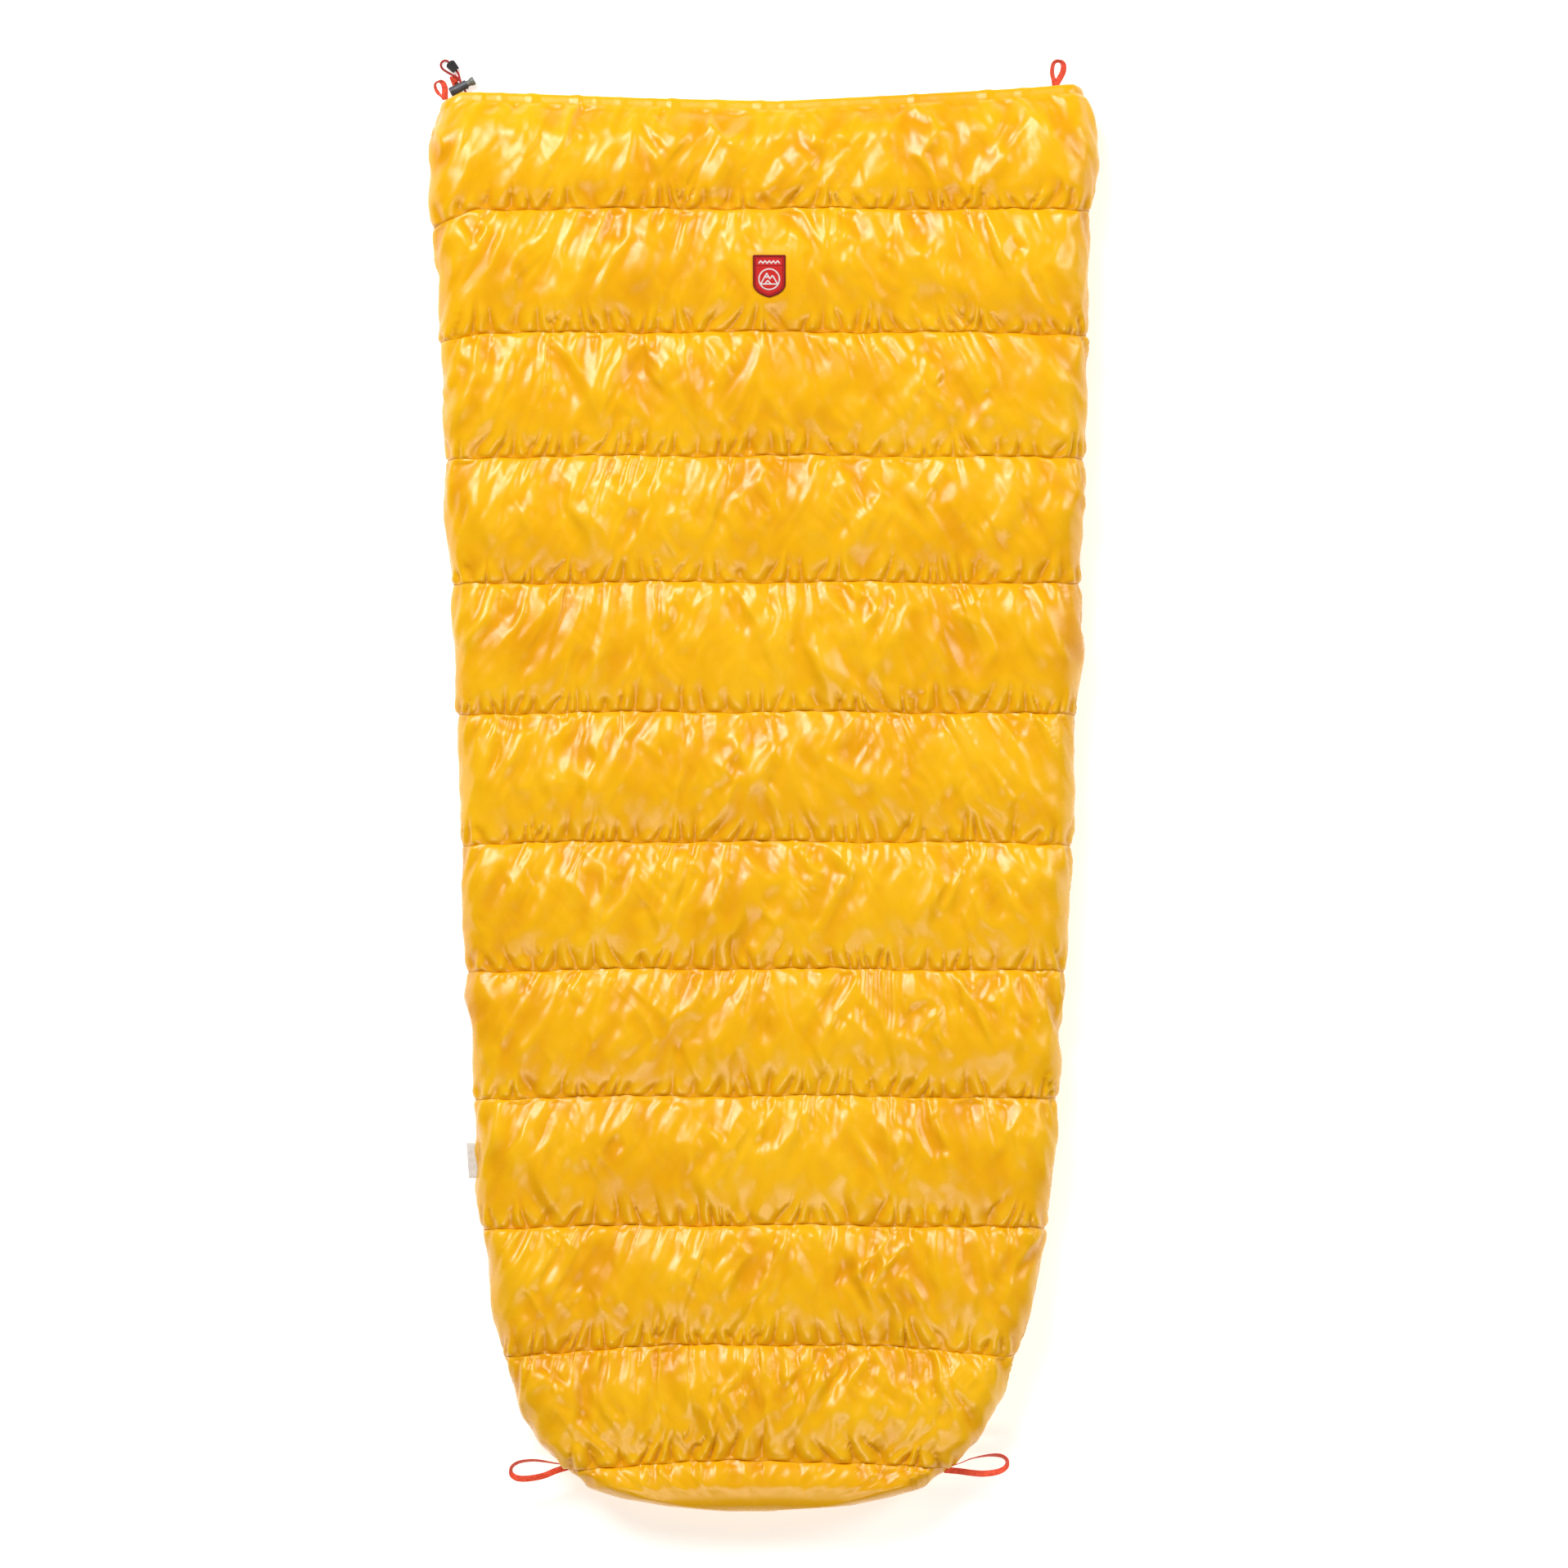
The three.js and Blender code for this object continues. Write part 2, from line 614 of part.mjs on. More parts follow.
// A loop of ribbon on its edge, from its sewn root along +X: its outline, and the gap inside.
function ribbonLoop(length, width) {
  const half = width / 2;
  const t = RIBBON_THICKNESS;
  const outline = [
    [0, -t - 0.2],
    [0.55 * length, -half],
    [0.88 * length, -0.85 * half],
    [length, -0.4 * half],
    [length, 0.4 * half],
    [0.88 * length, 0.85 * half],
    [0.55 * length, half],
    [0, t + 0.2],
  ];
  const inside = [
    [0.2 * length, -0.3],
    [0.55 * length, t - half],
    [0.87 * length, t - 0.85 * half],
    [length - t, 0.5 - 0.4 * half],
    [length - t, 0.4 * half - 0.5],
    [0.87 * length, 0.85 * half - t],
    [0.55 * length, half - t],
    [0.2 * length, 0.3],
  ];
  const shape = outlineShape(outline);
  shape.holes.push(outlineShape(inside));
  const geometry = new THREE.ExtrudeGeometry(shape, { depth: RIBBON_WIDTH, bevelEnabled: false });
  return geometry.translate(0, 0, -RIBBON_WIDTH / 2);
}

// [name, root, angle from +X, length, width]
const LOOPS = [
  ["ribbon_loop_mouth_left", [-407.5, 880.5, 27], 1.92, 24, 12],
  ["ribbon_loop_mouth_right", [377.3, 898.5, 27], 1.4, 31.6, 15],
  ["ribbon_loop_foot_left", [-249.5, -874.5, 44], 3.23, 73.5, 24],
  ["ribbon_loop_foot_right", [237.5, -878, 44], 0.1, 79.5, 24],
];
for (const [name, root, angle, length, width] of LOOPS) {
  const mesh = addMesh(name, ribbonLoop(length, width), "ribbon");
  mesh.position.set(...root);
  mesh.rotation.z = angle;
}

// The tape that ties the lock to the hem: out under the barrel, folded over and back to its side.
const TETHER_ROOT = [-388.8, 887.4, 0];
const TETHER_ANGLE = 1.97;
const TETHER_OUTLINE = [
  [0, 5.5],
  [3, 1.2],
  [4.5, GAP],
  [24.5, GAP],
  [26, 1.8],
  [24.5, 3.4],
  [17.5, 3.4],
  [17.5, 2.5],
  [24.1, 2.5],
  [24.9, 1.8],
  [24.1, 1.2],
  [5, 1.2],
  [3.8, 2.1],
  [0.8, 6.2],
];

function lockTether() {
  const flat = { depth: RIBBON_WIDTH, bevelEnabled: false };
  const geometry = new THREE.ExtrudeGeometry(outlineShape(TETHER_OUTLINE), flat);
  return geometry.translate(0, 0, -RIBBON_WIDTH / 2).rotateX(Math.PI / 2);
}

const tether = addMesh("lock_tether", lockTether(), "ribbon");
tether.position.set(...TETHER_ROOT);
tether.rotation.z = TETHER_ANGLE;

// --- Shield patch on the second chamber, and the side label ---

const PATCH_CENTRE = [10, 649.5];
const PATCH_WIDTH = 42;
const PATCH_HEIGHT = 54.5;
const PATCH_BORDER = 2.6;
const EMBLEM_RADIUS = 14;

function shield(inset) {
  const [w, h] = [PATCH_WIDTH / 2 - inset, PATCH_HEIGHT / 2 - inset];
  const shape = new THREE.Shape();
  shape.moveTo(-w, h);
  shape.lineTo(-w, -0.35 * h);
  shape.quadraticCurveTo(-w, -0.8 * h, 0, -h);
  shape.quadraticCurveTo(w, -0.8 * h, w, -0.35 * h);
  shape.lineTo(w, h);
  shape.closePath();
  return shape;
}

function flatPiece(shape, depth, z) {
  const options = { depth, bevelEnabled: false, curveSegments: 6 };
  return new THREE.ExtrudeGeometry(shape, options).translate(PATCH_CENTRE[0], PATCH_CENTRE[1], z);
}

const patchBase = TOP_HEIGHT + GAP;
const rim = shield(0);
rim.holes.push(shield(PATCH_BORDER));
const disc = new THREE.Shape().absarc(0, -4, EMBLEM_RADIUS, 0, 2 * Math.PI, false);
disc.holes.push(new THREE.Path().absarc(0, -4, EMBLEM_RADIUS - 1.6, 0, 2 * Math.PI, true));
addMesh("patch_backing", flatPiece(shield(PATCH_BORDER + GAP), 1, patchBase), "patch");
addMesh("patch_border", flatPiece(rim, 1.8, patchBase), "patch_edge");
addMesh("patch_emblem", flatPiece(disc, 0.5, patchBase + 1 + GAP), "emblem");

const LABEL_FROM = -460;
const LABEL_TO = -505;
const LABEL_REACH = 11.5;
const labelSide = (y) => interpolate(OUTLINE, y, 1) - GAP;
const label = outlineShape([
  [labelSide(LABEL_FROM), LABEL_FROM],
  [labelSide(LABEL_FROM) - LABEL_REACH, LABEL_FROM],
  [labelSide(LABEL_TO) - LABEL_REACH, LABEL_TO],
  [labelSide(LABEL_TO), LABEL_TO],
]);
const labelMesh = addMesh(
  "side_label",
  new THREE.ExtrudeGeometry(label, { depth: 0.6, bevelEnabled: false }),
  "label",
);
labelMesh.position.z = BASE_HEIGHT + TURN - 0.3;

export default group;
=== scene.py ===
"""Looks of the camp quilt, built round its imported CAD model.

The row frame has +Y to the mouth, +X to the right and +Z up. The surfaces of the quilt are grids:
columns run across the padded layer, from the slit's right edge under the quilt, round the right side,
over the top and round the left side back to the slit. Rows run from the mouth to the foot.
Grids are in millimetres, as the CAD source is, and meshes are in metres.
"""

import math

import bmesh
import bpy
import numpy as np
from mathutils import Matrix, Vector


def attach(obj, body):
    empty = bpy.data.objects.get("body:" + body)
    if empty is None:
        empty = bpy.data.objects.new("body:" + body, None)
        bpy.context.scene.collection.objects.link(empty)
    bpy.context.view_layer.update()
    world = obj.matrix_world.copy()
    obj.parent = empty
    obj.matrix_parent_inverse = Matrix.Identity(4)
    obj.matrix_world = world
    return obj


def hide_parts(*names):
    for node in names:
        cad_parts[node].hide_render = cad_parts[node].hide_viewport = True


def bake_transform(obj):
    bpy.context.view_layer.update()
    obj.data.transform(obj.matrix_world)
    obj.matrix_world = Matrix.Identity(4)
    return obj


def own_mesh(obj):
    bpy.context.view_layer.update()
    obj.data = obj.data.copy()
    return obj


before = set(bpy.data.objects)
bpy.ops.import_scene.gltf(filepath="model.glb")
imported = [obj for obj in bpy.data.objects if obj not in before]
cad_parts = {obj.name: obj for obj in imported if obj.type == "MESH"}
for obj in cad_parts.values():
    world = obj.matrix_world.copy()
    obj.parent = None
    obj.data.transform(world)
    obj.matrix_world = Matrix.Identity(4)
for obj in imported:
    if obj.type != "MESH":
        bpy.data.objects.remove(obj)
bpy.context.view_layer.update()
MM = 0.001

# --- Sizes that the CAD source states ---

SEAMS = (737, 579, 420.5, 259, 93, -73, -236, -398.5, -564, -717, -866)
MOUTH_EDGE = 881
HEM_FRONT = 891
HEM_MARGIN = 871
FOOT_SEAM = SEAMS[-1]
FOOT_DEPTH = 66
MIDDLE_HEIGHT = 44  # of the turns' centres
BASE_HEIGHT = 18
BASE_HEIGHT_EDGE = 6.5
TURN = 26
TURN_HEM = 20.75
TURN_FROM = 766
LOFT = 18
LOFT_SEAM = 5  # the CAD keeps 7, and the real seam is drawn tighter
LOFT_EDGE = 5
LOFT_SIDE = 16
LOFT_SIDE_SEAM = 12
EDGE_FLAT = 9
EDGE_RISE = 26
SLIT_END = SEAMS[6]
SLIT_HALF_MOUTH = 95
SLIT_HALF_END = 3
CLOSED_SLIT = 0.5

OUTLINE = np.array(
    [
        (871, -424, 425), (830, -427.9, 427.9), (766, -427.9, 427.9), (737, -424, 424),
        (705, -418, 422), (586, -416, 420.5), (540, -409, 420), (376, -405, 413.5),
        (166, -394, 408), (-44, -388, 401), (-254, -379, 390.5), (-464, -367, 376.5),
        (-569, -360, 366), (-674, -343, 342), (-726, -332, 326), (-779, -312, 304),
        (-831, -287, 276), (-873, -247, 236), (-894, -222, 207), (-910, -182, 166),
        (-924, -122, 112), (-930.8, -54, 20),
    ]
)
HEM_LINE = np.array(
    [
        (-428, 24), (-402, 12), (-385, 3.5), (-340, 4), (-150, 11),
        (20, 15), (200, 6), (340, -2), (400, -7), (428, 4),
    ]
)

# --- Camera, light and floor ---

VIEW_WIDTH = 2.0118  # of the floor that the photograph shows, at the turns' height
CAMERA_HEIGHT = 12
CAMERA_AIM = (0.0289, 0.0005)
SENSOR = 36


def look_at(obj, target):
    direction = Vector(target) - obj.location
    obj.rotation_euler = direction.to_track_quat("-Z", "Y").to_euler()


def add_object(name, data):
    obj = bpy.data.objects.new(name, data)
    bpy.context.scene.collection.objects.link(obj)
    return obj


def make_camera():
    data = bpy.data.cameras.new("camera")
    data.sensor_width = SENSOR
    data.lens = SENSOR * CAMERA_HEIGHT / VIEW_WIDTH
    data.clip_end = 50
    camera = add_object("camera", data)
    camera.location = (*CAMERA_AIM, MIDDLE_HEIGHT * MM + CAMERA_HEIGHT)
    bpy.context.scene.camera = camera


def area_light(name, place, target, size, power, colour=(1, 1, 1)):
    data = bpy.data.lights.new(name, "AREA")
    data.shape = "RECTANGLE"
    data.size, data.size_y = size
    data.energy = power
    data.color = colour
    lamp = add_object(name, data)
    lamp.location = place
    look_at(lamp, target)


def make_lights():
    world = bpy.data.worlds.new("studio")
    world.use_nodes = True
    background = world.node_tree.nodes["Background"]
    background.inputs["Color"].default_value = (1, 0.95, 0.75, 1)
    background.inputs["Strength"].default_value = 0.1
    bpy.context.scene.world = world
    area_light("key", (-2.8, 4.2, 5.2), (0, 0, 0), (3.6, 2.8), 440)
    area_light("right", (5.4, 2.6, 4.2), (0, 0, 0), (2.2, 3.6), 195)
    area_light("fill", (0.4, -4.6, 5.6), (0, 0, 0), (4.6, 1.7), 165, (1, 0.88, 0.78))


# --- Numbers and grids ---


def smoothstep(x):
    x = np.clip(x, 0, 1)
    return x * x * (3 - 2 * x)


def mix(a, b, share):
    return a + (b - a) * share


def outline(y, side):
    """The outline's x at y: side 1 is the left one, and 2 the right one."""
    return np.interp(y, OUTLINE[::-1, 0], OUTLINE[::-1, side])


def slit_half(y):
    """Half the width of the slit in the back at y."""
    if y < SLIT_END:
        return max(CLOSED_SLIT, SLIT_HALF_END - (SLIT_END - y) / 10)
    share = (y - SLIT_END) / (HEM_FRONT - SLIT_END)
    return mix(SLIT_HALF_END, SLIT_HALF_MOUTH, share)


def setback(x, y):
    """How far the mouth's uneven edge lies nearer the foot than MOUTH_EDGE."""
    share = np.clip((y - SEAMS[0]) / (HEM_MARGIN - SEAMS[0]), 0, 1)
    return np.interp(x, HEM_LINE[:, 0], HEM_LINE[:, 1]) * share


# How far each seam's ends lie nearer the foot than its middle, from the mouth edge to the foot's end
BOW_ROWS = np.array(
    [
        (881, 0, 0), (737, 2, 30), (579, 3, 14), (420.5, 3, 5), (259, 3, 3),
        (93, 4, 3), (-73, 4, 3), (-236, 4, 2), (-398.5, 5, 2), (-564, 5, 2),
        (-717, 17, 2), (-866, 13, 0), (-931, 0, 0),
    ]
)[::-1]


def bow(x, y):
    half_width = outline(y, 2)
    bend = np.interp(y, BOW_ROWS[:, 0], BOW_ROWS[:, 1])
    droop = np.interp(y, BOW_ROWS[:, 0], BOW_ROWS[:, 2])
    share = np.abs(x) / half_width
    return bend * share**2.5 + droop * smoothstep((-x - 0.86 * half_width) / (0.15 * half_width))


def puff(t):
    """The chamber's rise between its two seams, from 0 to 1 and back."""
    return (1 - np.abs(2 * t - 1) ** 2.2) ** 0.6


# Columns on each stretch of the layer
FLAT_COLUMNS = 2
RISE_COLUMNS = 4
RUN_COLUMNS = 30
TURN_COLUMNS = 16
TOP_COLUMNS = 150
CHAMBER_ROWS = 28


def lower_run(sign, slit, corner, face, low):
    """The part of a row under the quilt, from the slit's edge out to the corner."""
    a = np.arange(FLAT_COLUMNS) / FLAT_COLUMNS
    b = np.arange(RISE_COLUMNS) / RISE_COLUMNS
    c = np.arange(RUN_COLUMNS) / RUN_COLUMNS
    flat = min(EDGE_FLAT, abs(corner) / 4)
    rise = min(EDGE_RISE, abs(corner) / 3)
    x1, x2 = slit + flat, slit + flat + rise
    x = np.concatenate([mix(slit, x1, a), mix(x1, x2, b), mix(x2, abs(corner), c)]) * sign
    height = mix(BASE_HEIGHT_EDGE, low, smoothstep(b))
    z = np.concatenate([0 * a + BASE_HEIGHT_EDGE, height, 0 * c + low])
    half = np.concatenate(
        [0 * a + min(LOFT_EDGE, face), mix(LOFT_EDGE, face, np.sin(b * math.pi / 2)), 0 * c + face]
    )
    return np.stack([x, z, 0 * x, 0 * x - 1, half], 1)


def side_turn(corner, start, turn, face, side, low):
    """The part of a row that turns round one side of the quilt."""
    angle = start + np.arange(TURN_COLUMNS) * math.pi / TURN_COLUMNS
    nx, nz = np.cos(angle), np.sin(angle)
    half = mix(face, side, np.abs(nx))
    return np.stack([corner + turn * nx, low + turn + turn * nz, nx, nz, half], 1)


def layer_row(slit, right, left, low, turn, face, side):
    """One row of a layer: each column's x, z, outward direction x, z, and half thickness."""
    top = np.zeros((TOP_COLUMNS, 5))
    top[:, 0] = mix(right, left, np.arange(TOP_COLUMNS) / TOP_COLUMNS)
    top[:, 1:] = (low + 2 * turn, 0, 1, face)
    stretches = [
        lower_run(1, slit, right, face, low),
        side_turn(right, -math.pi / 2, turn, face, side, low),
        top,
        side_turn(left, math.pi / 2, turn, face, side, low),
        np.array([[left, low, 0, -1, face]]),
        lower_run(-1, slit, left, face, low)[::-1],
    ]
    return np.concatenate(stretches)


def station(y, face, side, low):
    """The layer's row at y."""
    near_mouth = np.clip((y - TURN_FROM) / (HEM_MARGIN - TURN_FROM), 0, 1)
    turn = mix(TURN, TURN_HEM, near_mouth)
    right = outline(y, 2) - LOFT_SIDE - turn
    left = outline(y, 1) + LOFT_SIDE + turn
    return layer_row(slit_half(y), right, left, low, turn, face, side)


def foot_station(angle, inset_seam, inset):
    """One row of the panel that closes the foot, at "angle" round its bulge."""
    # The lining bulges less than the shell, by nearly its own inset.
    y = FOOT_SEAM - (FOOT_DEPTH - 0.9 * inset) * math.sin(angle)
    over = mix(inset_seam, inset, min(1, angle / 0.5) ** 0.7)
    radius = (MIDDLE_HEIGHT - over) * math.sqrt(max(0.008, math.cos(angle)))
    side = mix(LOFT_SIDE - LOFT_SIDE_SEAM, over, min(1, angle / 0.3)) if inset_seam < 20 else over
    right = outline(y, 2) - side - radius
    left = outline(y, 1) + side + radius
    low = MIDDLE_HEIGHT - radius
    row = layer_row(CLOSED_SLIT, right, left, low, radius, 0, 0)
    row[:, 1] = np.maximum(row[:, 1], low)
    return y, row


def row_shares():
    """Where a chamber's rows lie between its seams: closer together near them."""
    q = np.arange(CHAMBER_ROWS + 1) / CHAMBER_ROWS
    return 0.5 * q + 0.25 * (1 - np.cos(math.pi * q))


def chamber_rows(number):
    """The rows of one chamber as (y, half thickness on top, at the side, height of the lower run)."""
    from_y = MOUTH_EDGE if number == 1 else SEAMS[number - 2]
    to_y = SEAMS[number - 1]
    rows = []
    for t in row_shares():
        y = mix(from_y, to_y, t)
        rise = puff(t)
        low = BASE_HEIGHT
        face = mix(LOFT_SEAM, LOFT, rise)
        side = mix(LOFT_SIDE_SEAM, LOFT_SIDE, rise)
        if number == 1:
            roll = math.sin(min(1, (MOUTH_EDGE - y) / 50) * math.pi / 2)
            low = mix(BASE_HEIGHT_EDGE, BASE_HEIGHT, roll)
            if t < 0.5:
                face = mix(LOFT_EDGE, LOFT, roll)
                side = mix(LOFT_EDGE, LOFT_SIDE, roll)
        rows.append((y, face, side, low))
    return rows


def layer_grid(number, sign):
    """A chamber's outer face (sign 1) or inner face (sign -1) before the cloth settles."""
    points = []
    for y, face, side, low in chamber_rows(number):
        s = station(y, face, side, low)
        x = s[:, 0] + sign * s[:, 2] * s[:, 4]
        z = s[:, 1] + sign * s[:, 3] * s[:, 4]
        points.append(np.stack([x, y - setback(s[:, 0], y) - bow(s[:, 0], y), z], 1))
    return np.array(points)


FOOT_ROWS = 16
FOOT_FOLD_ROWS = 7  # the foot panel's folds fade out over these


def foot_grid(inset_seam, inset):
    """The foot panel's outer or inner face, so much inside the shell at its seam and beyond it."""
    points = []
    for k in range(FOOT_ROWS + 1):
        angle = math.radians(89.5) * (k / FOOT_ROWS) ** 1.1
        y, s = foot_station(angle, inset_seam, inset)
        points.append(np.stack([s[:, 0], y - bow(s[:, 0], y), s[:, 1]], 1))
    return np.array(points)


# --- The outer shell's cloth ---

GATHER_SEAM = 1.13  # the cloth is cut this much wider than its seam
GATHER_MIDDLE = 1.065
SLACK = 1.13  # and longer than the chamber's own curve
SETTLE_FRAMES = 9
MOST_MOVE = 9.5
FLOOR_GAP = 0.2  # no fabric lies lower
CLOTH_SETTINGS = {
    "quality": 5,
    "mass": 0.1,
    "tension_stiffness": 20,
    "compression_stiffness": 10,
    "shear_stiffness": 3,
    "bending_stiffness": 0.015,
    "tension_damping": 5,
    "compression_damping": 5,
    "shear_damping": 5,
    "bending_damping": 0.5,
    "air_damping": 2,
    "use_pressure": True,
    "uniform_pressure_force": 3.6,
}


def streaks(rng, shape, lean, wide):
    """Noise in long streaks that lean across the rows."""
    source = rng.normal(0, 1, shape)
    for _ in range(wide):
        source = (np.roll(source, 1, 1) + 2 * source + np.roll(source, -1, 1)) / 4
    total = source.copy()
    for k in range(1, 9):
        weight = 1 - k / 9
        total += np.roll(source, (k, round(lean * k)), (0, 1)) * weight
        total += np.roll(source, (-k, -round(lean * k)), (0, 1)) * weight
    return total / total.std()


def soft_mask(rng, shape):
    """Smooth noise from 0 to 1, which picks between two directions of fold."""
    mask = rng.normal(0, 1, shape)
    for _ in range(60):
        along = np.roll(mask, 1, 0) + np.roll(mask, -1, 0)
        across = np.roll(mask, 2, 1) + np.roll(mask, -2, 1)
        mask = (mask + along + 2 * across) / 7
    return 0.5 + 0.5 * np.clip(mask / mask.std(), -1, 1)


def first_folds(rng, shares, columns):
    """The small folds that the cloth starts with, which decide where it buckles."""
    shape = (len(shares), columns)
    mask = soft_mask(rng, shape)
    fine = streaks(rng, shape, 0.5, 0) * mask + streaks(rng, shape, -0.4, 0) * (1 - mask)
    broad = streaks(rng, shape, 0.7, 6) * mask + streaks(rng, shape, -0.6, 6) * (1 - mask)
    middle = 1 - np.abs(2 * shares - 1)[:, None] ** 2
    return 0.5 * fine + 3.2 * broad * middle


def quads_of(rows, columns):
    index = np.arange(rows * columns).reshape(rows, columns)
    corners = [index[:-1, :-1], index[:-1, 1:], index[1:, 1:], index[1:, :-1]]
    return np.stack(corners, -1).reshape(-1, 4)


def flat_pattern(start, shares):
    """The cut of the cloth, laid flat: the size that it wants to be."""
    rows, columns = start.shape[:2]
    steps = np.linalg.norm(np.diff(start, axis=1), axis=2)
    across = np.concatenate([np.zeros((rows, 1)), np.cumsum(steps, 1)], 1)
    gather = mix(GATHER_MIDDLE, GATHER_SEAM, np.abs(2 * shares - 1) ** 2)
    across = (across - across[:, columns // 2 : columns // 2 + 1]) * gather[:, None]
    along = np.linalg.norm(np.diff(start[:, columns // 2], axis=0), axis=1)
    along = np.concatenate([[0], np.cumsum(along)]) * SLACK
    return np.stack([across, np.repeat(-along[:, None], columns, 1), 0 * across], 2)


def settle(start, shares, pinned_rows, folds):
    """Blender's cloth, cut larger than the chambers and sewn at its pinned rows and edges."""
    rows, columns = start.shape[:2]
    mesh = bpy.data.meshes.new("cloth")
    lifted = start + folds[..., None] * grid_normals(start)
    mesh.from_pydata((lifted * MM).reshape(-1, 3).tolist(), [], quads_of(rows, columns).tolist())
    obj = add_object("cloth", mesh)
    index = np.arange(rows * columns).reshape(rows, columns)
    pins = set(index[pinned_rows].ravel().tolist()) | set(index[:, [0, -1]].ravel().tolist())
    obj.vertex_groups.new(name="pins").add(sorted(pins), 1, "REPLACE")
    obj.shape_key_add(name="Basis")
    cut = obj.shape_key_add(name="cut")
    pattern = (flat_pattern(start, shares) * MM).astype(np.float32)
    cut.data.foreach_set("co", pattern.ravel())
    cloth = obj.modifiers.new("cloth", "CLOTH")
    cloth.settings.rest_shape_key = cut
    cloth.settings.vertex_group_mass = "pins"
    for key, value in CLOTH_SETTINGS.items():
        setattr(cloth.settings, key, value)
    cloth.settings.effector_weights.gravity = 0
    cloth.collision_settings.use_collision = False
    cloth.point_cache.frame_end = SETTLE_FRAMES
    for number in range(1, SETTLE_FRAMES + 1):
        bpy.context.scene.frame_set(number)
    settled = obj.evaluated_get(bpy.context.evaluated_depsgraph_get())
    places = np.zeros(rows * columns * 3, np.float32)
    settled.data.vertices.foreach_get("co", places)
    bpy.data.objects.remove(obj)
    bpy.context.scene.frame_set(1)
    return places.reshape(rows, columns, 3).astype(float) / MM


def grid_normals(points):
    """Outward unit normals of a grid."""
    along = np.gradient(points, axis=0)
    across = np.gradient(points, axis=1)
    normal = np.cross(across, along)
    return normal / np.maximum(np.linalg.norm(normal, axis=2, keepdims=True), 1e-9)


def refine(points, axis):
    """Twice the rows or columns, on a smooth curve through the old ones."""
    points = np.moveaxis(points, axis, 0)
    before = np.concatenate([2 * points[:1] - points[1:2], points[:-2]])
    after = np.concatenate([points[2:], 2 * points[-1:] - points[-2:-1]])
    halfway = (9 * (points[:-1] + points[1:]) - before - after) / 16
    out = np.zeros((2 * len(points) - 1, *points.shape[1:]))
    out[::2], out[1::2] = points, halfway
    return np.moveaxis(out, 0, axis)


# --- Puckers at the seams ---


def swell(rng, u, v):
    """Smooth noise of u and v, with one swell to about every unit."""
    i, j = np.floor(u).astype(int), np.floor(v).astype(int)
    low_i, low_j = i.min(), j.min()
    angles = rng.uniform(0, 2 * math.pi, (i.max() - low_i + 2, j.max() - low_j + 2))
    fu, fv = u - i, v - j
    su, sv = smoothstep(fu), smoothstep(fv)
    total = 0
    for a in (0, 1):
        for b in (0, 1):
            angle = angles[i - low_i + a, j - low_j + b]
            slope = np.cos(angle) * (fu - a) + np.sin(angle) * (fv - b)
            total = total + slope * (su if a else 1 - su) * (sv if b else 1 - sv)
    return 1.6 * total


def crinkle(rng, u, v):
    """Shallow dishes between crisp ridges, about one to every unit of u and v."""
    i, j = np.floor(u).astype(int), np.floor(v).astype(int)
    low_i, low_j = i.min() - 1, j.min() - 1
    spots = rng.uniform(0, 1, (i.max() - low_i + 2, j.max() - low_j + 2, 2))
    nearest = np.full(u.shape, 9.0)
    for a in (-1, 0, 1):
        for b in (-1, 0, 1):
            spot = spots[i + a - low_i, j + b - low_j]
            far = (i + a + spot[..., 0] - u) ** 2 + (j + b + spot[..., 1] - v) ** 2
            nearest = np.minimum(nearest, far)
    return np.minimum(nearest, 1)


# Each size of crease in the nylon: how far apart its folds lie, how long they are, and how high
CREASES = ((38, 115, 7.0), (19, 64, 2.4), (9, 32, 0.35))
DISH_WIDTH = 46
DISH_LENGTH = 95
DISH_DEPTH = 4


def creases(rng, along, x, y, t):
    """How far thin nylon stands out in sharp leaning folds. t runs from 0 to 1 across a chamber."""
    u = along + 7 * swell(rng, along / 60, y / 60)
    v = y + 7 * swell(rng, along / 60, y / 60)
    calm = smoothstep(0.75 + 1.1 * swell(rng, along / 110, y / 80))
    rise = 0
    for width, reach, height in CREASES:
        choice = smoothstep(0.5 - x / 520 + 2.2 * swell(rng, along / 58, y / 58))
        one = 0.3 - np.abs(swell(rng, (u - 0.6 * v) / width, v / reach))
        other = 0.3 - np.abs(swell(rng, (u + 0.45 * v) / width, v / reach))
        rise = rise + height * mix(one, other, choice)
    one = crinkle(rng, (u - 0.6 * v) / DISH_WIDTH, v / DISH_LENGTH)
    other = crinkle(rng, (u + 0.45 * v) / DISH_WIDTH, v / DISH_LENGTH)
    rise = rise + DISH_DEPTH * (mix(one, other, choice) - 0.25)
    ends = smoothstep(t / 0.08) * smoothstep((1 - t) / 0.08)
    upper = mix(1, 0.5, smoothstep((t - 0.35) / 0.4))
    return rise * ends * upper * mix(0.35, 1, calm)


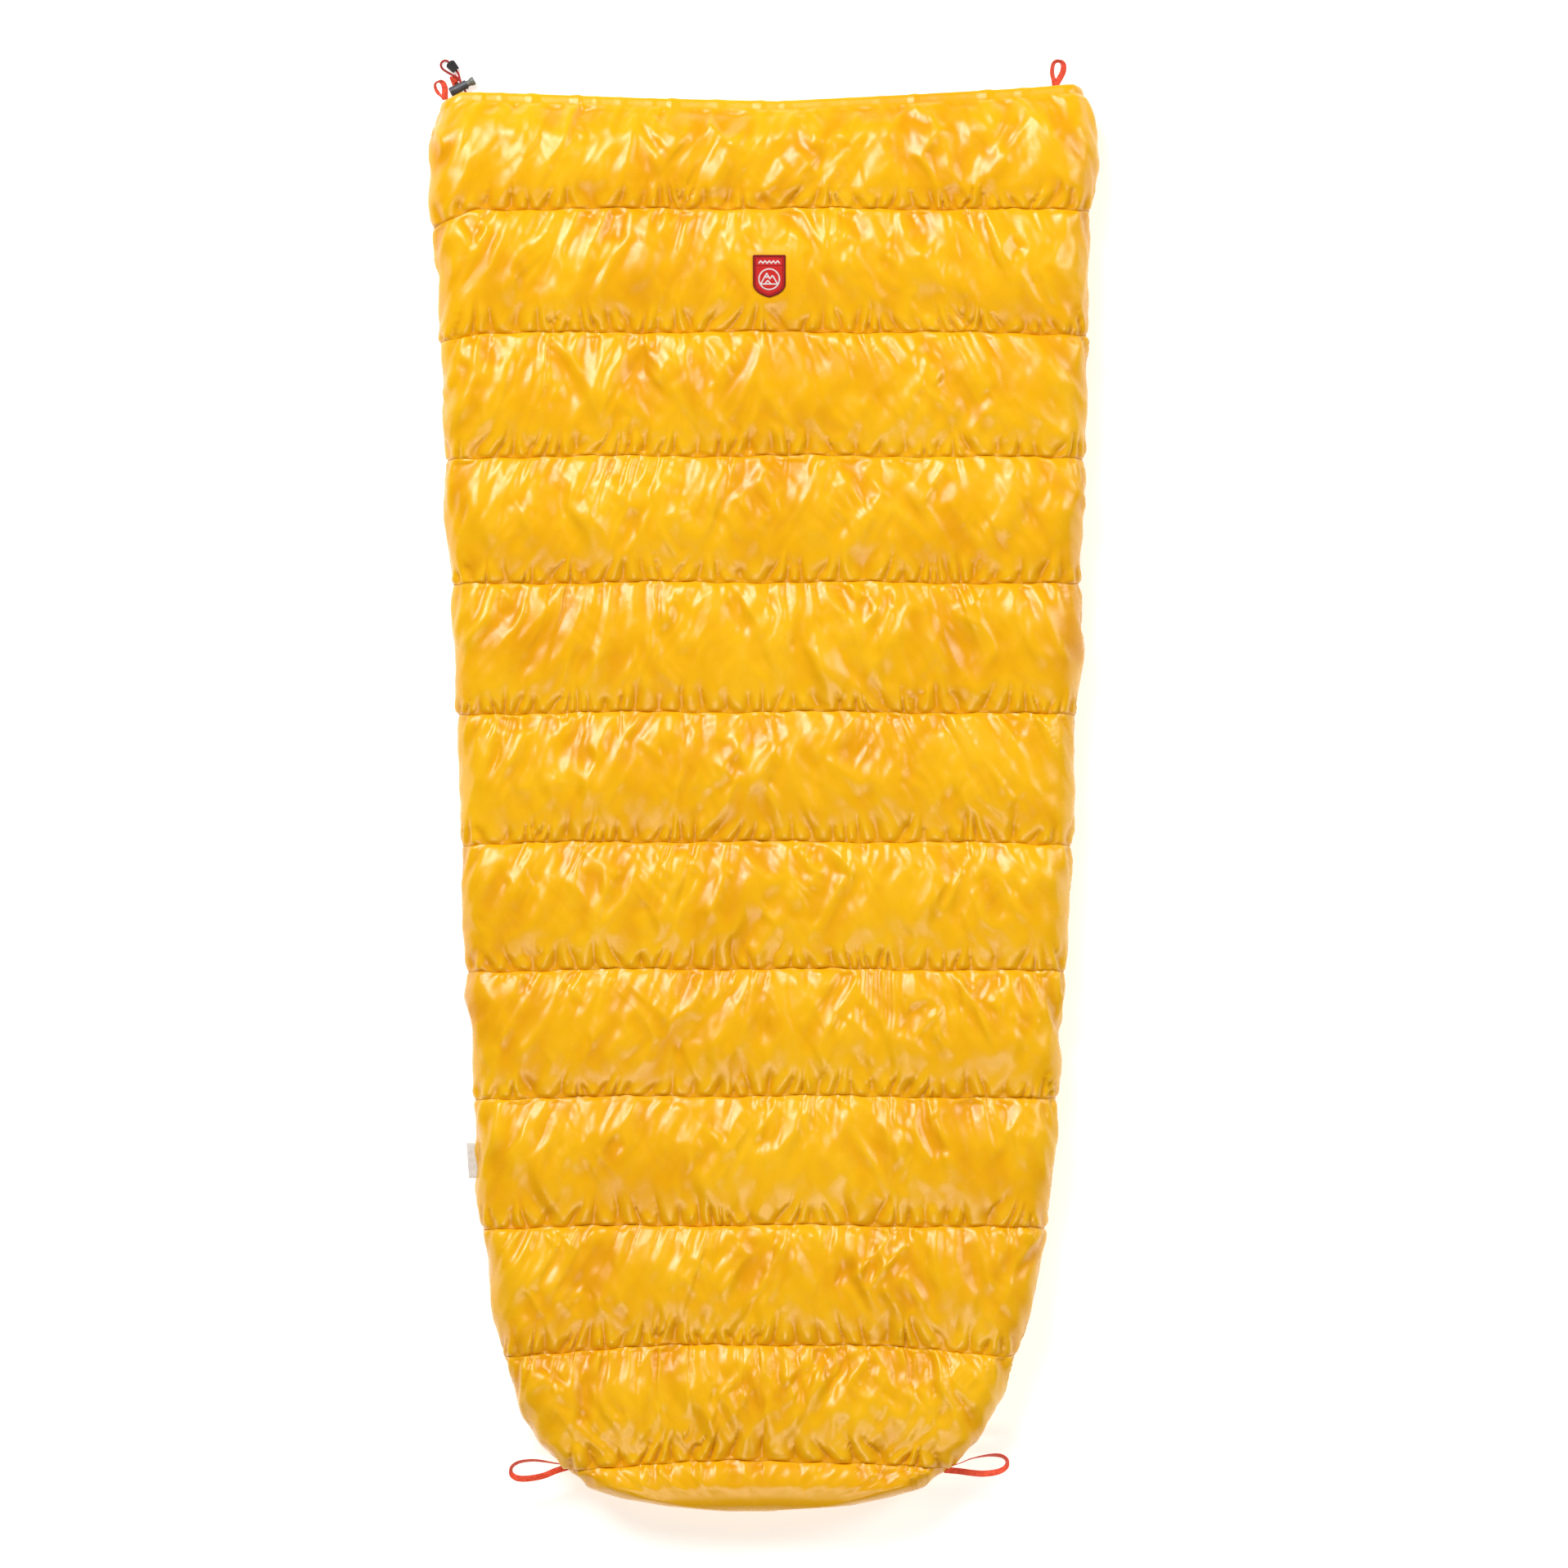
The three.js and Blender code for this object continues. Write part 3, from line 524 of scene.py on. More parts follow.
class Puckers:
    """The gathers along one seam: where they lie, how deep and how long each one is."""

    def __init__(self, rng, length, spacing=(9, 36), reach=(10, 60), sewn=True):
        spacing = rng.uniform(*spacing, int(1.9 * length / sum(spacing)))
        self.at = np.cumsum(spacing) - length / 2
        self.depth = rng.uniform(0.2, 1.3, len(spacing)) ** 1.5
        self.reach = rng.uniform(*reach, len(spacing))
        self.lean = rng.uniform(-0.6, 0.6, len(spacing))
        self.sewn = sewn

    def number(self, place):
        number = np.interp(place, self.at, np.arange(len(self.at)))
        return number, np.clip(np.round(number).astype(int), 0, len(self.at) - 1)

    def rise(self, along, distance, lean):
        """Sharp folds that run out from the seam."""
        number, whole = self.number(along + lean * distance)
        crest = 1 - 2 * np.abs(np.sin(np.pi * number)) ** 1.2
        return crest * self.depth[whole] * np.exp(-distance / self.reach[whole])

    def scallops(self, along, distance):
        """Round lobes that lie against the seam."""
        lean = np.interp(along, self.at, self.lean)
        number, whole = self.number(along + lean * distance)
        lobe = np.abs(np.cos(np.pi * number)) ** 1.1
        high = 8 + 9 * self.depth[whole]
        return 2.6 * (lobe - 0.6) * np.exp(-(((distance - 0.8 * high) / high) ** 2))


def row_lengths(row):
    """The length along a line from its first point to each of its points."""
    steps = np.linalg.norm(np.diff(row, axis=0), axis=1)
    return np.concatenate([[0], np.cumsum(steps)])


def from_middle(rows):
    """Each row's lengths, counted from the top's middle column."""
    lengths = np.array([row_lengths(row) for row in rows])
    return lengths - lengths[:, lengths.shape[1] // 2, None]


def pucker_grid(points, above, below, depth, lean):
    """How far the gathers at its two seams move a chamber's grid."""
    along = from_middle(points)
    steps = np.linalg.norm(np.diff(points, axis=0), axis=2)
    from_top = np.concatenate([np.zeros((1, points.shape[1])), np.cumsum(steps, 0)])
    to_bottom = from_top[-1] - from_top
    rise = 0 * along
    lean = lean + 0.5 * points[..., 0] / 400
    if above:
        start = smoothstep(from_top / (5 if above.sewn else 10))
        rise += above.rise(along, from_top, lean) * start
    if below:
        start = np.minimum(1, to_bottom / 4)
        rise += (below.scallops(along, to_bottom) + 0.25 * below.rise(along, 2 * to_bottom, 0)) * start
    return depth * rise


# --- Meshes ---


def mesh_object(name, made, material):
    """A smooth mesh from its points in millimetres and its faces."""
    points, faces = made
    mesh = bpy.data.meshes.new(name)
    mesh.from_pydata((np.asarray(points) * MM).tolist(), [], faces)
    mesh.materials.append(material)
    mesh.polygons.foreach_set("use_smooth", [True] * len(mesh.polygons))
    mesh.update()
    return add_object(name, mesh)


def dress(piece, node, body=None):
    """Hides the CAD node that a piece stands in for, if there is one, and attaches the piece to the body it
    rides on, if one is given.
    """
    if node:
        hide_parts(node)
    if body:
        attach(piece, body)


def grid_mesh(points):
    """A grid's points and faces."""
    return points.reshape(-1, 3), quads_of(*points.shape[:2]).tolist()


# --- Materials ---


class Surface:
    """A node material: a Principled shader, and short calls for the nodes that drive it."""

    def __init__(self, name, roughness, **values):
        self.material = bpy.data.materials.new(name)
        self.material.use_nodes = True
        self.tree = self.material.node_tree
        self.shader = self.tree.nodes["Principled BSDF"]
        self.shader.inputs["Roughness"].default_value = roughness
        for key, value in values.items():
            self.shader.inputs[key.replace("_", " ")].default_value = value
        self.place = self.tree.nodes.new("ShaderNodeTexCoord").outputs["Object"]

    def node(self, kind, settings=None, **inputs):
        node = self.tree.nodes.new("ShaderNode" + kind)
        for key, value in (settings or {}).items():
            setattr(node, key, value)
        for key, value in inputs.items():
            socket = node.inputs[int(key[1:])] if key[1:].isdigit() else node.inputs[key.replace("_", " ")]
            if isinstance(value, bpy.types.NodeSocket):
                self.tree.links.new(value, socket)
            else:
                socket.default_value = value
        return node

    def noise(self, scale, detail=3, stretch=(1, 1, 1)):
        mapped = self.node("Mapping", None, Vector=self.place, Scale=stretch).outputs["Vector"]
        return self.node("TexNoise", None, Vector=mapped, Scale=scale, Detail=detail).outputs["Fac"]

    def wave(self, scale, direction, distortion=0.0):
        bands = {"bands_direction": direction}
        made = self.node("TexWave", bands, Vector=self.place, Scale=scale, Distortion=distortion)
        return made.outputs["Fac"]

    def math(self, operation, a, b):
        return self.node("Math", {"operation": operation}, _0=a, _1=b).outputs[0]

    def colours(self, value, *stops):
        """Sets the base colour from a ramp: each stop is a place and a colour."""
        ramp = self.node("ValToRGB", None, Fac=value)
        elements = ramp.color_ramp.elements
        while len(elements) < len(stops):
            elements.new(0.5)
        for element, (place, colour) in zip(elements, stops):
            element.position = place
            element.color = (*colour, 1)
        self.tree.links.new(ramp.outputs["Color"], self.shader.inputs["Base Color"])

    def roughness(self, value, low, high):
        made = self.node("MapRange", None, Value=value, From_Min=0.3, From_Max=0.7, To_Min=low, To_Max=high)
        self.tree.links.new(made.outputs["Result"], self.shader.inputs["Roughness"])

    def bump(self, height, distance, strength=1.0):
        before = self.shader.inputs["Normal"].links
        made = self.node("Bump", None, Height=height, Distance=distance, Strength=strength)
        if before:
            self.tree.links.new(before[0].from_socket, made.inputs["Normal"])
        self.tree.links.new(made.outputs["Normal"], self.shader.inputs["Normal"])


def nylon(name, dark, middle, light, roughness):
    s = Surface(name, roughness, IOR=1.5)
    # Painted shade and light: a per-point colour attribute set from the shell's folds deepens the colour in
    # fold valleys and in the band above each seam, and lightens it a little on crests.
    fold_shade = s.node("Attribute", {"attribute_name": "fold_shade"}).outputs["Fac"]
    s.colours(s.math("ADD", s.noise(7, 4), fold_shade), (0.2, dark), (0.5, middle), (0.75, light))
    s.roughness(s.noise(60, 2), roughness - 0.05, roughness + 0.06)
    s.bump(s.noise(38, 3, (1, 0.3, 1)), 0.0012, 0.25)
    threads = s.math("ADD", s.wave(420, "X"), s.wave(420, "Y"))
    s.bump(threads, 0.00005, 0.4)
    return s.material


def down():
    s = Surface("down", 0.95)
    s.colours(s.noise(90, 5), (0.3, (0.72, 0.68, 0.6)), (0.6, (0.9, 0.88, 0.82)))
    s.bump(s.noise(160, 6), 0.004, 0.9)
    return s.material


def baffle_mesh():
    s = Surface("baffle_mesh", 0.8)
    net = s.math("MAXIMUM", s.wave(300, "X"), s.wave(300, "Z"))
    s.colours(net, (0.3, (0.35, 0.34, 0.31)), (0.7, (0.85, 0.84, 0.8)))
    s.bump(net, 0.0003)
    return s.material


def grosgrain():
    s = Surface("grosgrain", 0.55, Sheen_Weight=0.15)
    s.colours(s.noise(240, 2), (0.3, (0.72, 0.045, 0.012)), (0.7, (0.98, 0.11, 0.04)))
    s.bump(s.wave(560, "DIAGONAL"), 0.00025, 0.8)
    return s.material


def cord_cover():
    s = Surface("cord_cover", 0.6)
    braid = s.math("MULTIPLY", s.wave(700, "X", 1.0), s.wave(700, "Y", 1.0))
    s.colours(braid, (0.1, (0.5, 0.02, 0.012)), (0.6, (0.85, 0.07, 0.035)))
    s.bump(braid, 0.0004)
    return s.material


def plastic(name, dark, light, roughness):
    s = Surface(name, roughness)
    s.colours(s.noise(120, 3), (0.35, dark), (0.65, light))
    s.roughness(s.noise(300, 2), roughness - 0.06, roughness + 0.08)
    s.bump(s.noise(900, 2), 0.00006, 0.5)
    return s.material


def steel():
    s = Surface("steel", 0.25, Metallic=1.0)
    s.colours(s.noise(500, 2), (0.3, (0.45, 0.46, 0.48)), (0.7, (0.62, 0.63, 0.65)))
    s.bump(s.wave(900, "X"), 0.00005, 0.3)
    return s.material


def embroidery(name, dark, light, direction):
    s = Surface(name, 0.75, Specular_IOR_Level=0.3)
    thread = s.wave(430, direction, 0.6)
    s.colours(s.math("MULTIPLY", thread, s.noise(300, 2)), (0.05, dark), (0.45, light))
    s.bump(thread, 0.0003, 0.9)
    return s.material


def label_cloth():
    s = Surface("label_cloth", 0.7)
    s.colours(s.noise(200, 3), (0.3, (0.66, 0.65, 0.64)), (0.7, (0.82, 0.81, 0.8)))
    s.bump(s.wave(600, "Y"), 0.0001, 0.6)
    return s.material


def floor_paper():
    s = Surface("floor_paper", 0.9, Specular_IOR_Level=0.1)
    s.colours(s.noise(3, 2), (0.3, (0.84, 0.84, 0.84)), (0.7, (0.86, 0.86, 0.86)))
    s.shader.inputs["Emission Color"].default_value = (1, 1, 1, 1)
    s.shader.inputs["Emission Strength"].default_value = 0.5
    return s.material


SHELL = nylon("shell_nylon", (0.8, 0.35, 0.001), (0.88, 0.445, 0.002), (0.92, 0.5, 0.006), 0.25)
LINING = nylon("lining_nylon", (0.02, 0.022, 0.025), (0.03, 0.032, 0.036), (0.04, 0.043, 0.048), 0.4)
DOWN = down()
BAFFLE = baffle_mesh()
RIBBON = grosgrain()
CORD = cord_cover()
LOCK = plastic("lock_plastic", (0.055, 0.065, 0.075), (0.075, 0.088, 0.1), 0.38)
PLUNGER = plastic("plunger_plastic", (0.14, 0.15, 0.14), (0.19, 0.2, 0.18), 0.42)
CORD_END = plastic("cord_end_plastic", (0.012, 0.012, 0.014), (0.022, 0.022, 0.025), 0.4)
STEEL = steel()
PATCH = embroidery("patch_twill", (0.5, 0.012, 0.012), (0.78, 0.03, 0.022), "DIAGONAL")
PATCH_EDGE = embroidery("patch_edge", (0.14, 0.004, 0.01), (0.36, 0.012, 0.02), "DIAGONAL")
EMBLEM = embroidery("emblem_thread", (0.78, 0.68, 0.7), (0.98, 0.92, 0.93), "X")
LABEL = label_cloth()
THREAD = embroidery("seam_thread", (0.5, 0.19, 0.003), (0.72, 0.3, 0.008), "X")

# --- Camera and cord first ---

make_camera()
make_lights()

CORD_DIAMETER = 2.8
TAIL_ROUTE = (
    (-379.5, 888.5, 6.5), (-380.9, 891.4, 6.6), (-382.7, 894.9, 6.6), (-384.5, 898.5, 6.6),
    (-386.3, 902.1, 6.5), (-388, 905.8, 5.9), (-389, 910.2, 4.4), (-390.2, 914.6, 3),
    (-392.2, 918, 2.4), (-394.9, 921, 2.4), (-397.5, 924, 2.4), (-400.1, 927, 2.4),
    (-402.8, 930, 2.4), (-406.3, 932, 2.3), (-410.2, 931.2, 2.1), (-412.7, 928.1, 1.9),
    (-412.6, 924.1, 1.8), (-410.3, 921, 1.8), (-405.5, 917.6, 2.2), (-400, 914.3, 3.8),
    (-394.6, 911.4, 6), (-390.2, 908.4, 8.2), (-387.6, 904.7, 9.6), (-386.2, 901.8, 9.8),
    (-384.5, 898.5, 9.8),
)


def smooth_line(points, steps):
    """A curve through points, "steps" to each stretch."""
    p = np.asarray(points, float)
    p = np.concatenate([2 * p[:1] - p[1:2], p, 2 * p[-1:] - p[-2:-1]])
    line = []
    for i in range(1, len(p) - 2):
        a, b, c, d = p[i - 1 : i + 3]
        for t in np.arange(steps) / steps:
            curve = 2 * b + (c - a) * t + (2 * a - 5 * b + 4 * c - d) * t**2
            line.append(0.5 * (curve + (3 * b - a - 3 * c + d) * t**3))
    line.append(p[-2])
    return np.array(line)


def directions(line):
    """The unit direction of a line at each of its points."""
    tangents = np.gradient(line, axis=0)
    return tangents / np.linalg.norm(tangents, axis=1, keepdims=True)


def frames_along(line):
    """Two directions across a line at each of its points, carried along without twist."""
    tangents = directions(line)
    side = np.cross(tangents[0], (0, 0, 1))
    sides = []
    for tangent in tangents:
        side = side - tangent * (side @ tangent)
        side /= np.linalg.norm(side)
        sides.append(side)
    sides = np.array(sides)
    return sides, np.cross(tangents, sides)


def tube_faces(rings, around):
    faces = []
    for r in range(rings - 1):
        for k in range(around):
            n = (k + 1) % around
            faces.append([r * around + k, r * around + n, (r + 1) * around + n, (r + 1) * around + k])
    faces.append(list(range(around))[::-1])
    faces.append([(rings - 1) * around + k for k in range(around)])
    return faces


def tube(name, line, radius, material, around=12):
    sides, ups = frames_along(line)
    angles = 2 * math.pi * np.arange(around) / around
    ring = np.cos(angles)[None, :, None] * sides[:, None] + np.sin(angles)[None, :, None] * ups[:, None]
    reach = np.broadcast_to(radius, (len(line),))[:, None, None]
    points = line[:, None] + ring * reach
    return mesh_object(name, (points.reshape(-1, 3), tube_faces(len(line), around)), material)


def apply_modifiers(piece):
    seen = piece.evaluated_get(bpy.context.evaluated_depsgraph_get())
    piece.data = bpy.data.meshes.new_from_object(seen)
    piece.modifiers.clear()
    return piece.data


def rounded(name, node, width, material, body):
    """A moulded piece: the CAD node's own shape, with its edges rounded if there is a width."""
    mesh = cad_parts[node].data.copy()
    mesh.name = name
    work = bmesh.new()
    work.from_mesh(mesh)
    bmesh.ops.remove_doubles(work, verts=work.verts, dist=1e-6)
    bmesh.ops.dissolve_degenerate(work, edges=work.edges, dist=5e-5)
    bmesh.ops.dissolve_limit(work, angle_limit=math.radians(1), verts=work.verts, edges=work.edges)
    work.to_mesh(mesh)
    work.free()
    mesh.materials.clear()
    mesh.materials.append(material)
    piece = add_object(name, mesh)
    if width:
        bevel = piece.modifiers.new("bevel", "BEVEL")
        bevel.width = width * MM
        bevel.segments = 3
        bevel.limit_method = "ANGLE"
        bevel.angle_limit = math.radians(32)
    final = apply_modifiers(piece)
    final.polygons.foreach_set("use_smooth", [width > 0] * len(final.polygons))
    final.set_sharp_from_angle(angle=math.radians(40))
    weighted = piece.modifiers.new("weighted", "WEIGHTED_NORMAL")
    weighted.keep_sharp = True
    weighted.weight = 90
    apply_modifiers(piece)
    dress(piece, node, body=body)
    return piece


def make_tail(cord_end):
    line = smooth_line(TAIL_ROUTE, 4)
    braid = 1 + 0.035 * np.sin(np.arange(len(line)) * 2.2)
    tail = tube("cord_loop", line, CORD_DIAMETER / 2 * braid, CORD)
    dress(tail, "drawcord_tail")
    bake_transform(tail)


make_tail(rounded("cord_stop", "cord_end", 0.8, CORD_END, "cord_end"))

# --- The quilt's surfaces ---

rng = np.random.default_rng(11)
CHAMBERS = len(SEAMS)
shares = row_shares()


def follow(piece, number, at_mouth_fold, at_foot_fold):
    """The piece of a chamber or seam, by its number: at a fold its transform is baked into its mesh, and
    elsewhere it rides on its body.
    """
    if number in at_mouth_fold:
        bend_at_mouth_fold(piece)
    elif number in at_foot_fold:
        bend_at_foot_fold(piece)
    else:
        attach(piece, "mouth_end" if number < 3 else "middle" if number < 9 else "foot_end")


def follow_chamber(piece, number):
    follow(piece, number, (3, 4), (9, 10))


def follow_seam(piece, number):
    follow(piece, number, (3,), (9,))


def bend_at_mouth_fold(piece):
    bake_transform(piece)


def bend_at_foot_fold(piece):
    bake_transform(piece)


def chamber_piece(name, number, made, material, node):
    """A padded piece of one chamber."""
    piece = mesh_object(f"{name}_chamber_{number:02d}", made, material)
    dress(piece, node)
    follow_chamber(piece, number)
    return piece


def foot_piece(name, made, material, node):
    """A padded piece of the panel that closes the foot."""
    piece = mesh_object(name, made, material)
    dress(piece, node, body="foot_end")
    return piece


def section_of(number):
    return "mouth" if number <= 3 else "middle" if number <= 9 else "foot"


def wavy_seams(grids):
    """Moves each seam's shared row a little to and fro."""
    for upper, lower in zip(grids[:-1], grids[1:]):
        along = row_lengths(upper[-1])
        wave = 1.3 * np.sin(along / 41 + rng.uniform(0, 6)) + 0.9 * np.sin(along / 9 + rng.uniform(0, 6))
        upper[-1, :, 1] += wave
        lower[0, :, 1] += wave


def shell_grids():
    """The settled outer face of every chamber and of the foot panel."""
    starts = [layer_grid(n, 1) for n in range(1, CHAMBERS + 1)]
    foot = foot_grid(LOFT - LOFT_SEAM, 0)
    foot[0] = starts[-1][-1]
    starts.append(foot)
    wavy_seams(starts)
    whole = np.concatenate([starts[0]] + [g[1:] for g in starts[1:]])
    foot_shares = 0.5 * np.arange(FOOT_ROWS + 1) / FOOT_ROWS
    all_shares = np.concatenate([shares] + [shares[1:]] * (CHAMBERS - 1) + [foot_shares[1:]])
    pinned = [CHAMBER_ROWS * n for n in range(CHAMBERS + 1)] + [len(whole) - 1]
    folds = first_folds(rng, all_shares, whole.shape[1])
    folds[pinned] = 0
    folds[:, [0, -1]] = 0
    settled = settle(whole, all_shares, pinned, folds)
    move = iron(settled - whole, pinned)
    move[-FOOT_ROWS:] *= smoothstep(1 - np.arange(FOOT_ROWS) / FOOT_FOLD_ROWS)[:, None, None]
    distance = np.linalg.norm(move, axis=2, keepdims=True)
    settled = whole + move * np.minimum(1, MOST_MOVE / np.maximum(distance, 1e-6))
    settled[..., 2] = np.maximum(settled[..., 2], FLOOR_GAP)
    return [settled[a : b + 1] for a, b in zip(pinned[:-1], pinned[1:])]


def iron(move, pinned):
    """Takes out folds that are no wider than a column or two."""
    for _ in range(2):
        move[:, 1:-1] = (move[:, :-2] + 2 * move[:, 1:-1] + move[:, 2:]) / 4
    move[1:-1] = (move[:-2] + 2 * move[1:-1] + move[2:]) / 4
    move[pinned] = 0
    return move


PATCH_CENTRE = (10, 649.5)
PATCH_LIFT = 1.2


def patch_bend(x, y):
    """How the patch's face curves down, from x and y round its centre."""
    return PATCH_LIFT - 0.0016 * y**2 - 0.0004 * x**2


def flatten_under_patch(grid):
    """The shell lies smooth where the patch stiffens it. Returns the patch's height there."""
    top = grid[..., 2] > MIDDLE_HEIGHT
    x, y = grid[..., 0] - PATCH_CENTRE[0], grid[..., 1] - PATCH_CENTRE[1]
    reach = np.hypot(x / 30, y / 36)
    near = top & (reach < 1)
    height = float(grid[..., 2][near].mean())
    bend = height + patch_bend(x, y)
    share = smoothstep((1.35 - reach) / 0.55) * top
    grid[..., 2] = mix(grid[..., 2], bend, share)
    return height


MOUTH_LENGTH = 2200  # round the whole mouth edge, and a little more
MOUTH_GATHERS = Puckers(rng, MOUTH_LENGTH, (18, 66), (25, 90), sewn=False)
GATHER_DEPTH = 2.2
GATHER_DEPTH_FOOT = 3.2


def make_shell():
    grids = shell_grids()
    length = 1.15 * row_lengths(grids[0][-1])[-1]
    puckers = [MOUTH_GATHERS] + [Puckers(rng, length) for _ in SEAMS[:-1]]
    puckers += [Puckers(rng, length, (14, 50), (14, 55)), None]
    finished = []
    for n, grid in enumerate(grids, 1):
        fine = refine(refine(grid, 0), 1)
        depth = GATHER_DEPTH_FOOT if n >= CHAMBERS else GATHER_DEPTH
        lean = rng.uniform(-0.25, 0.25)
        rise = pucker_grid(fine, puckers[n - 1], puckers[n], depth, lean)
        along = from_middle(fine)
        t = np.repeat(np.linspace(0, 1, len(fine))[:, None], fine.shape[1], 1)
        folds = creases(rng, along, fine[..., 0], fine[..., 1], t)
        if n > CHAMBERS:
            folds *= 0.6 * smoothstep((0.6 - t) / 0.5)
            rise *= smoothstep((0.5 - t) / 0.4)
        normals = grid_normals(fine)
        rise += folds * mix(0.4, 1, smoothstep(normals[..., 2] + 1))
        fine = fine + rise[..., None] * normals
        fine[..., 2] = np.maximum(fine[..., 2], FLOOR_GAP)
        # Painted shade: the band just above each seam is given a deeper colour through the colour
        # attribute, as if it lay in the chamber's shade.
        seam_shade = 2.6 * smoothstep((t - 0.92) / 0.07) * (n <= CHAMBERS)
        finished.append((fine, rise - seam_shade))
    return finished


def paint_fold_shade(piece, rise):
    """Painted shade and light: cloth in a fold's valley lies in its own shade and reflected light, so a
    colour attribute paints it a deeper colour there and in the band above each seam, and a little lighter
    on crests.
    """
    attribute = piece.data.attributes.new("fold_shade", "FLOAT", "POINT")
    values = np.zeros(len(piece.data.vertices))
    values[: rise.size] = np.clip(rise.ravel() / 10, -0.25, 0.15)
    attribute.data.foreach_set("value", values)


shell, shade_rises = zip(*make_shell())
patch_height = flatten_under_patch(shell[1])

for n, grid in enumerate(shell[:-1], 1):
    node = "outer_shell_" + section_of(n)
    paint_fold_shade(chamber_piece("shell", n, grid_mesh(grid), SHELL, node), shade_rises[n - 1])


def close_end(points):
    """A grid's points and faces, with its last row closed by one face."""
    rows, columns = points.shape[:2]
    faces = quads_of(rows, columns).tolist()
    for r in range(rows - 1):
        first, next_first = r * columns, (r + 1) * columns
        faces.append([first + columns - 1, first, next_first, next_first + columns - 1])
    last = [(rows - 1) * columns + c for c in range(columns)]
    return points.reshape(-1, 3), faces + [last]


paint_fold_shade(
    foot_piece("foot_panel_shell", close_end(shell[-1]), SHELL, "foot_end_shell"), shade_rises[-1]
)

# Lining

lining = [layer_grid(n, -1) for n in range(1, CHAMBERS + 1)]
foot_lining = foot_grid(2 * LOFT - (LOFT - LOFT_SEAM), 2 * LOFT)
foot_lining[0] = lining[-1][-1]


def make_lining():
    length = 1.15 * row_lengths(lining[0][-1])[-1]
    puckers = [None] + [Puckers(rng, length) for _ in SEAMS]
    for n, grid in enumerate(lining, 1):
        fine = refine(grid, 1)
        # The inner face looks the other way, so its gathers are counted from its own side.
        fine = fine[:, ::-1]
        rise = pucker_grid(fine, puckers[n - 1], puckers[n], 0.9, 0.2)
        fine = fine + rise[..., None] * grid_normals(fine)
        chamber_piece("lining", n, grid_mesh(fine), LINING, "lining_" + section_of(n))
    made = close_end(foot_lining[:, ::-1])
    foot_piece("foot_panel_lining", made, LINING, "foot_end_lining")


make_lining()

# Down and baffle walls, inside the chambers


def closed_layer(outer, inner):
    """A closed solid between two grids of the same size."""
    rows, columns = outer.shape[:2]
    size = rows * columns
    face = quads_of(rows, columns)
    faces = face.tolist() + (face[:, ::-1] + size).tolist()
    index = np.arange(size).reshape(rows, columns)
    border = [*index[0], *index[1:, -1], *index[-1, -2::-1], *index[-2:0:-1, 0]]
    for a, b in zip(border, border[1:] + border[:1]):
        faces.append([b, a, a + size, b + size])
    return np.concatenate([outer.reshape(-1, 3), inner.reshape(-1, 3)]), faces


DOWN_COLUMNS = slice(6, -5, 4)  # it ends before the thin edges of the slit


def down_between(outer, inner):
    """The cluster of down between a layer's two faces, well clear of both."""
    return closed_layer(mix(inner, outer, 0.64), mix(inner, outer, 0.16))


def make_down(n):
    last = CHAMBER_ROWS - (4 if n == CHAMBERS else 1)  # the foot's ribbons are rooted in the last seam
    rows = np.arange(6 if n == 1 else 2, last, 2)
    made = down_between(layer_grid(n, 1)[rows, DOWN_COLUMNS], lining[n - 1][rows, DOWN_COLUMNS])
    chamber_piece("down", n, made, DOWN, f"down_fill_{n:02d}")


def make_wall(n):
    outer = shell[n - 1][-1, ::4]
    inner = lining[n - 1][-1, ::2]
    along = np.linspace(0.12, 0.88, 5)[:, None, None]
    middle = outer[None] + (inner - outer)[None] * along
    shift = np.array([0, 0.3, 0])
    piece = mesh_object(f"baffle_{n:02d}", closed_layer(middle + shift, middle - shift), BAFFLE)
    dress(piece, f"baffle_wall_{n:02d}")
    follow_seam(piece, n)


for n in range(1, CHAMBERS + 1):
    make_down(n)
    make_wall(n)


foot_outer = foot_grid(LOFT - LOFT_SEAM, 0)
foot_down = down_between(foot_outer[2::2, DOWN_COLUMNS], foot_lining[2::2, DOWN_COLUMNS])
foot_piece("down_foot_panel", foot_down, DOWN, "foot_end_fill")

# --- Hem, bindings and seam tape ---

CHANNEL_HALF = 5.9
HEM_HALF = 5.9
HEM_STEPS = 16


def make_hem():
    """The tunnel round the drawcord: a soft roll over the mouth edge, gathered by the cord."""
    s = station(MOUTH_EDGE, LOFT_EDGE, LOFT_EDGE, BASE_HEIGHT_EDGE)
    s = refine(refine(s[:, None], 0), 0)[:, 0]
    face = s[:, :2] + s[:, 2:4] * LOFT_EDGE
    along = from_middle(np.stack([face[:, 0], 0 * face[:, 0], face[:, 1]], 1)[None])[0]
    rows = []
    gathers = np.maximum(MOUTH_GATHERS.rise(along, 0 * along, 0), -0.1)
    for k in range(HEM_STEPS + 1):
        angle = math.pi * (k / HEM_STEPS - 0.5)
        y = mix(HEM_MARGIN, HEM_FRONT + 0.5, math.cos(angle) ** 0.8)
        front = 0.9 * gathers * math.cos(angle)
        over = -math.sin(angle) * (HEM_HALF + gathers * (1.3 if angle < 0 else 0.7))
        x = s[:, 0] + s[:, 2] * over
        z = s[:, 1] + s[:, 3] * over
        rows.append(np.stack([x, y + front - setback(s[:, 0], HEM_FRONT), z], 1))
    grid = np.array(rows)
    grid[..., 2] = np.maximum(grid[..., 2], FLOOR_GAP)
    hem = mesh_object("drawcord_hem", grid_mesh(grid[::-1]), SHELL)
    dress(hem, "mouth_hem", body="mouth_end")


make_hem()


BINDING_PITCH = 5
BINDING_STEPS = 12
TAPE_PITCH = 6
TAPE_HALF = 8


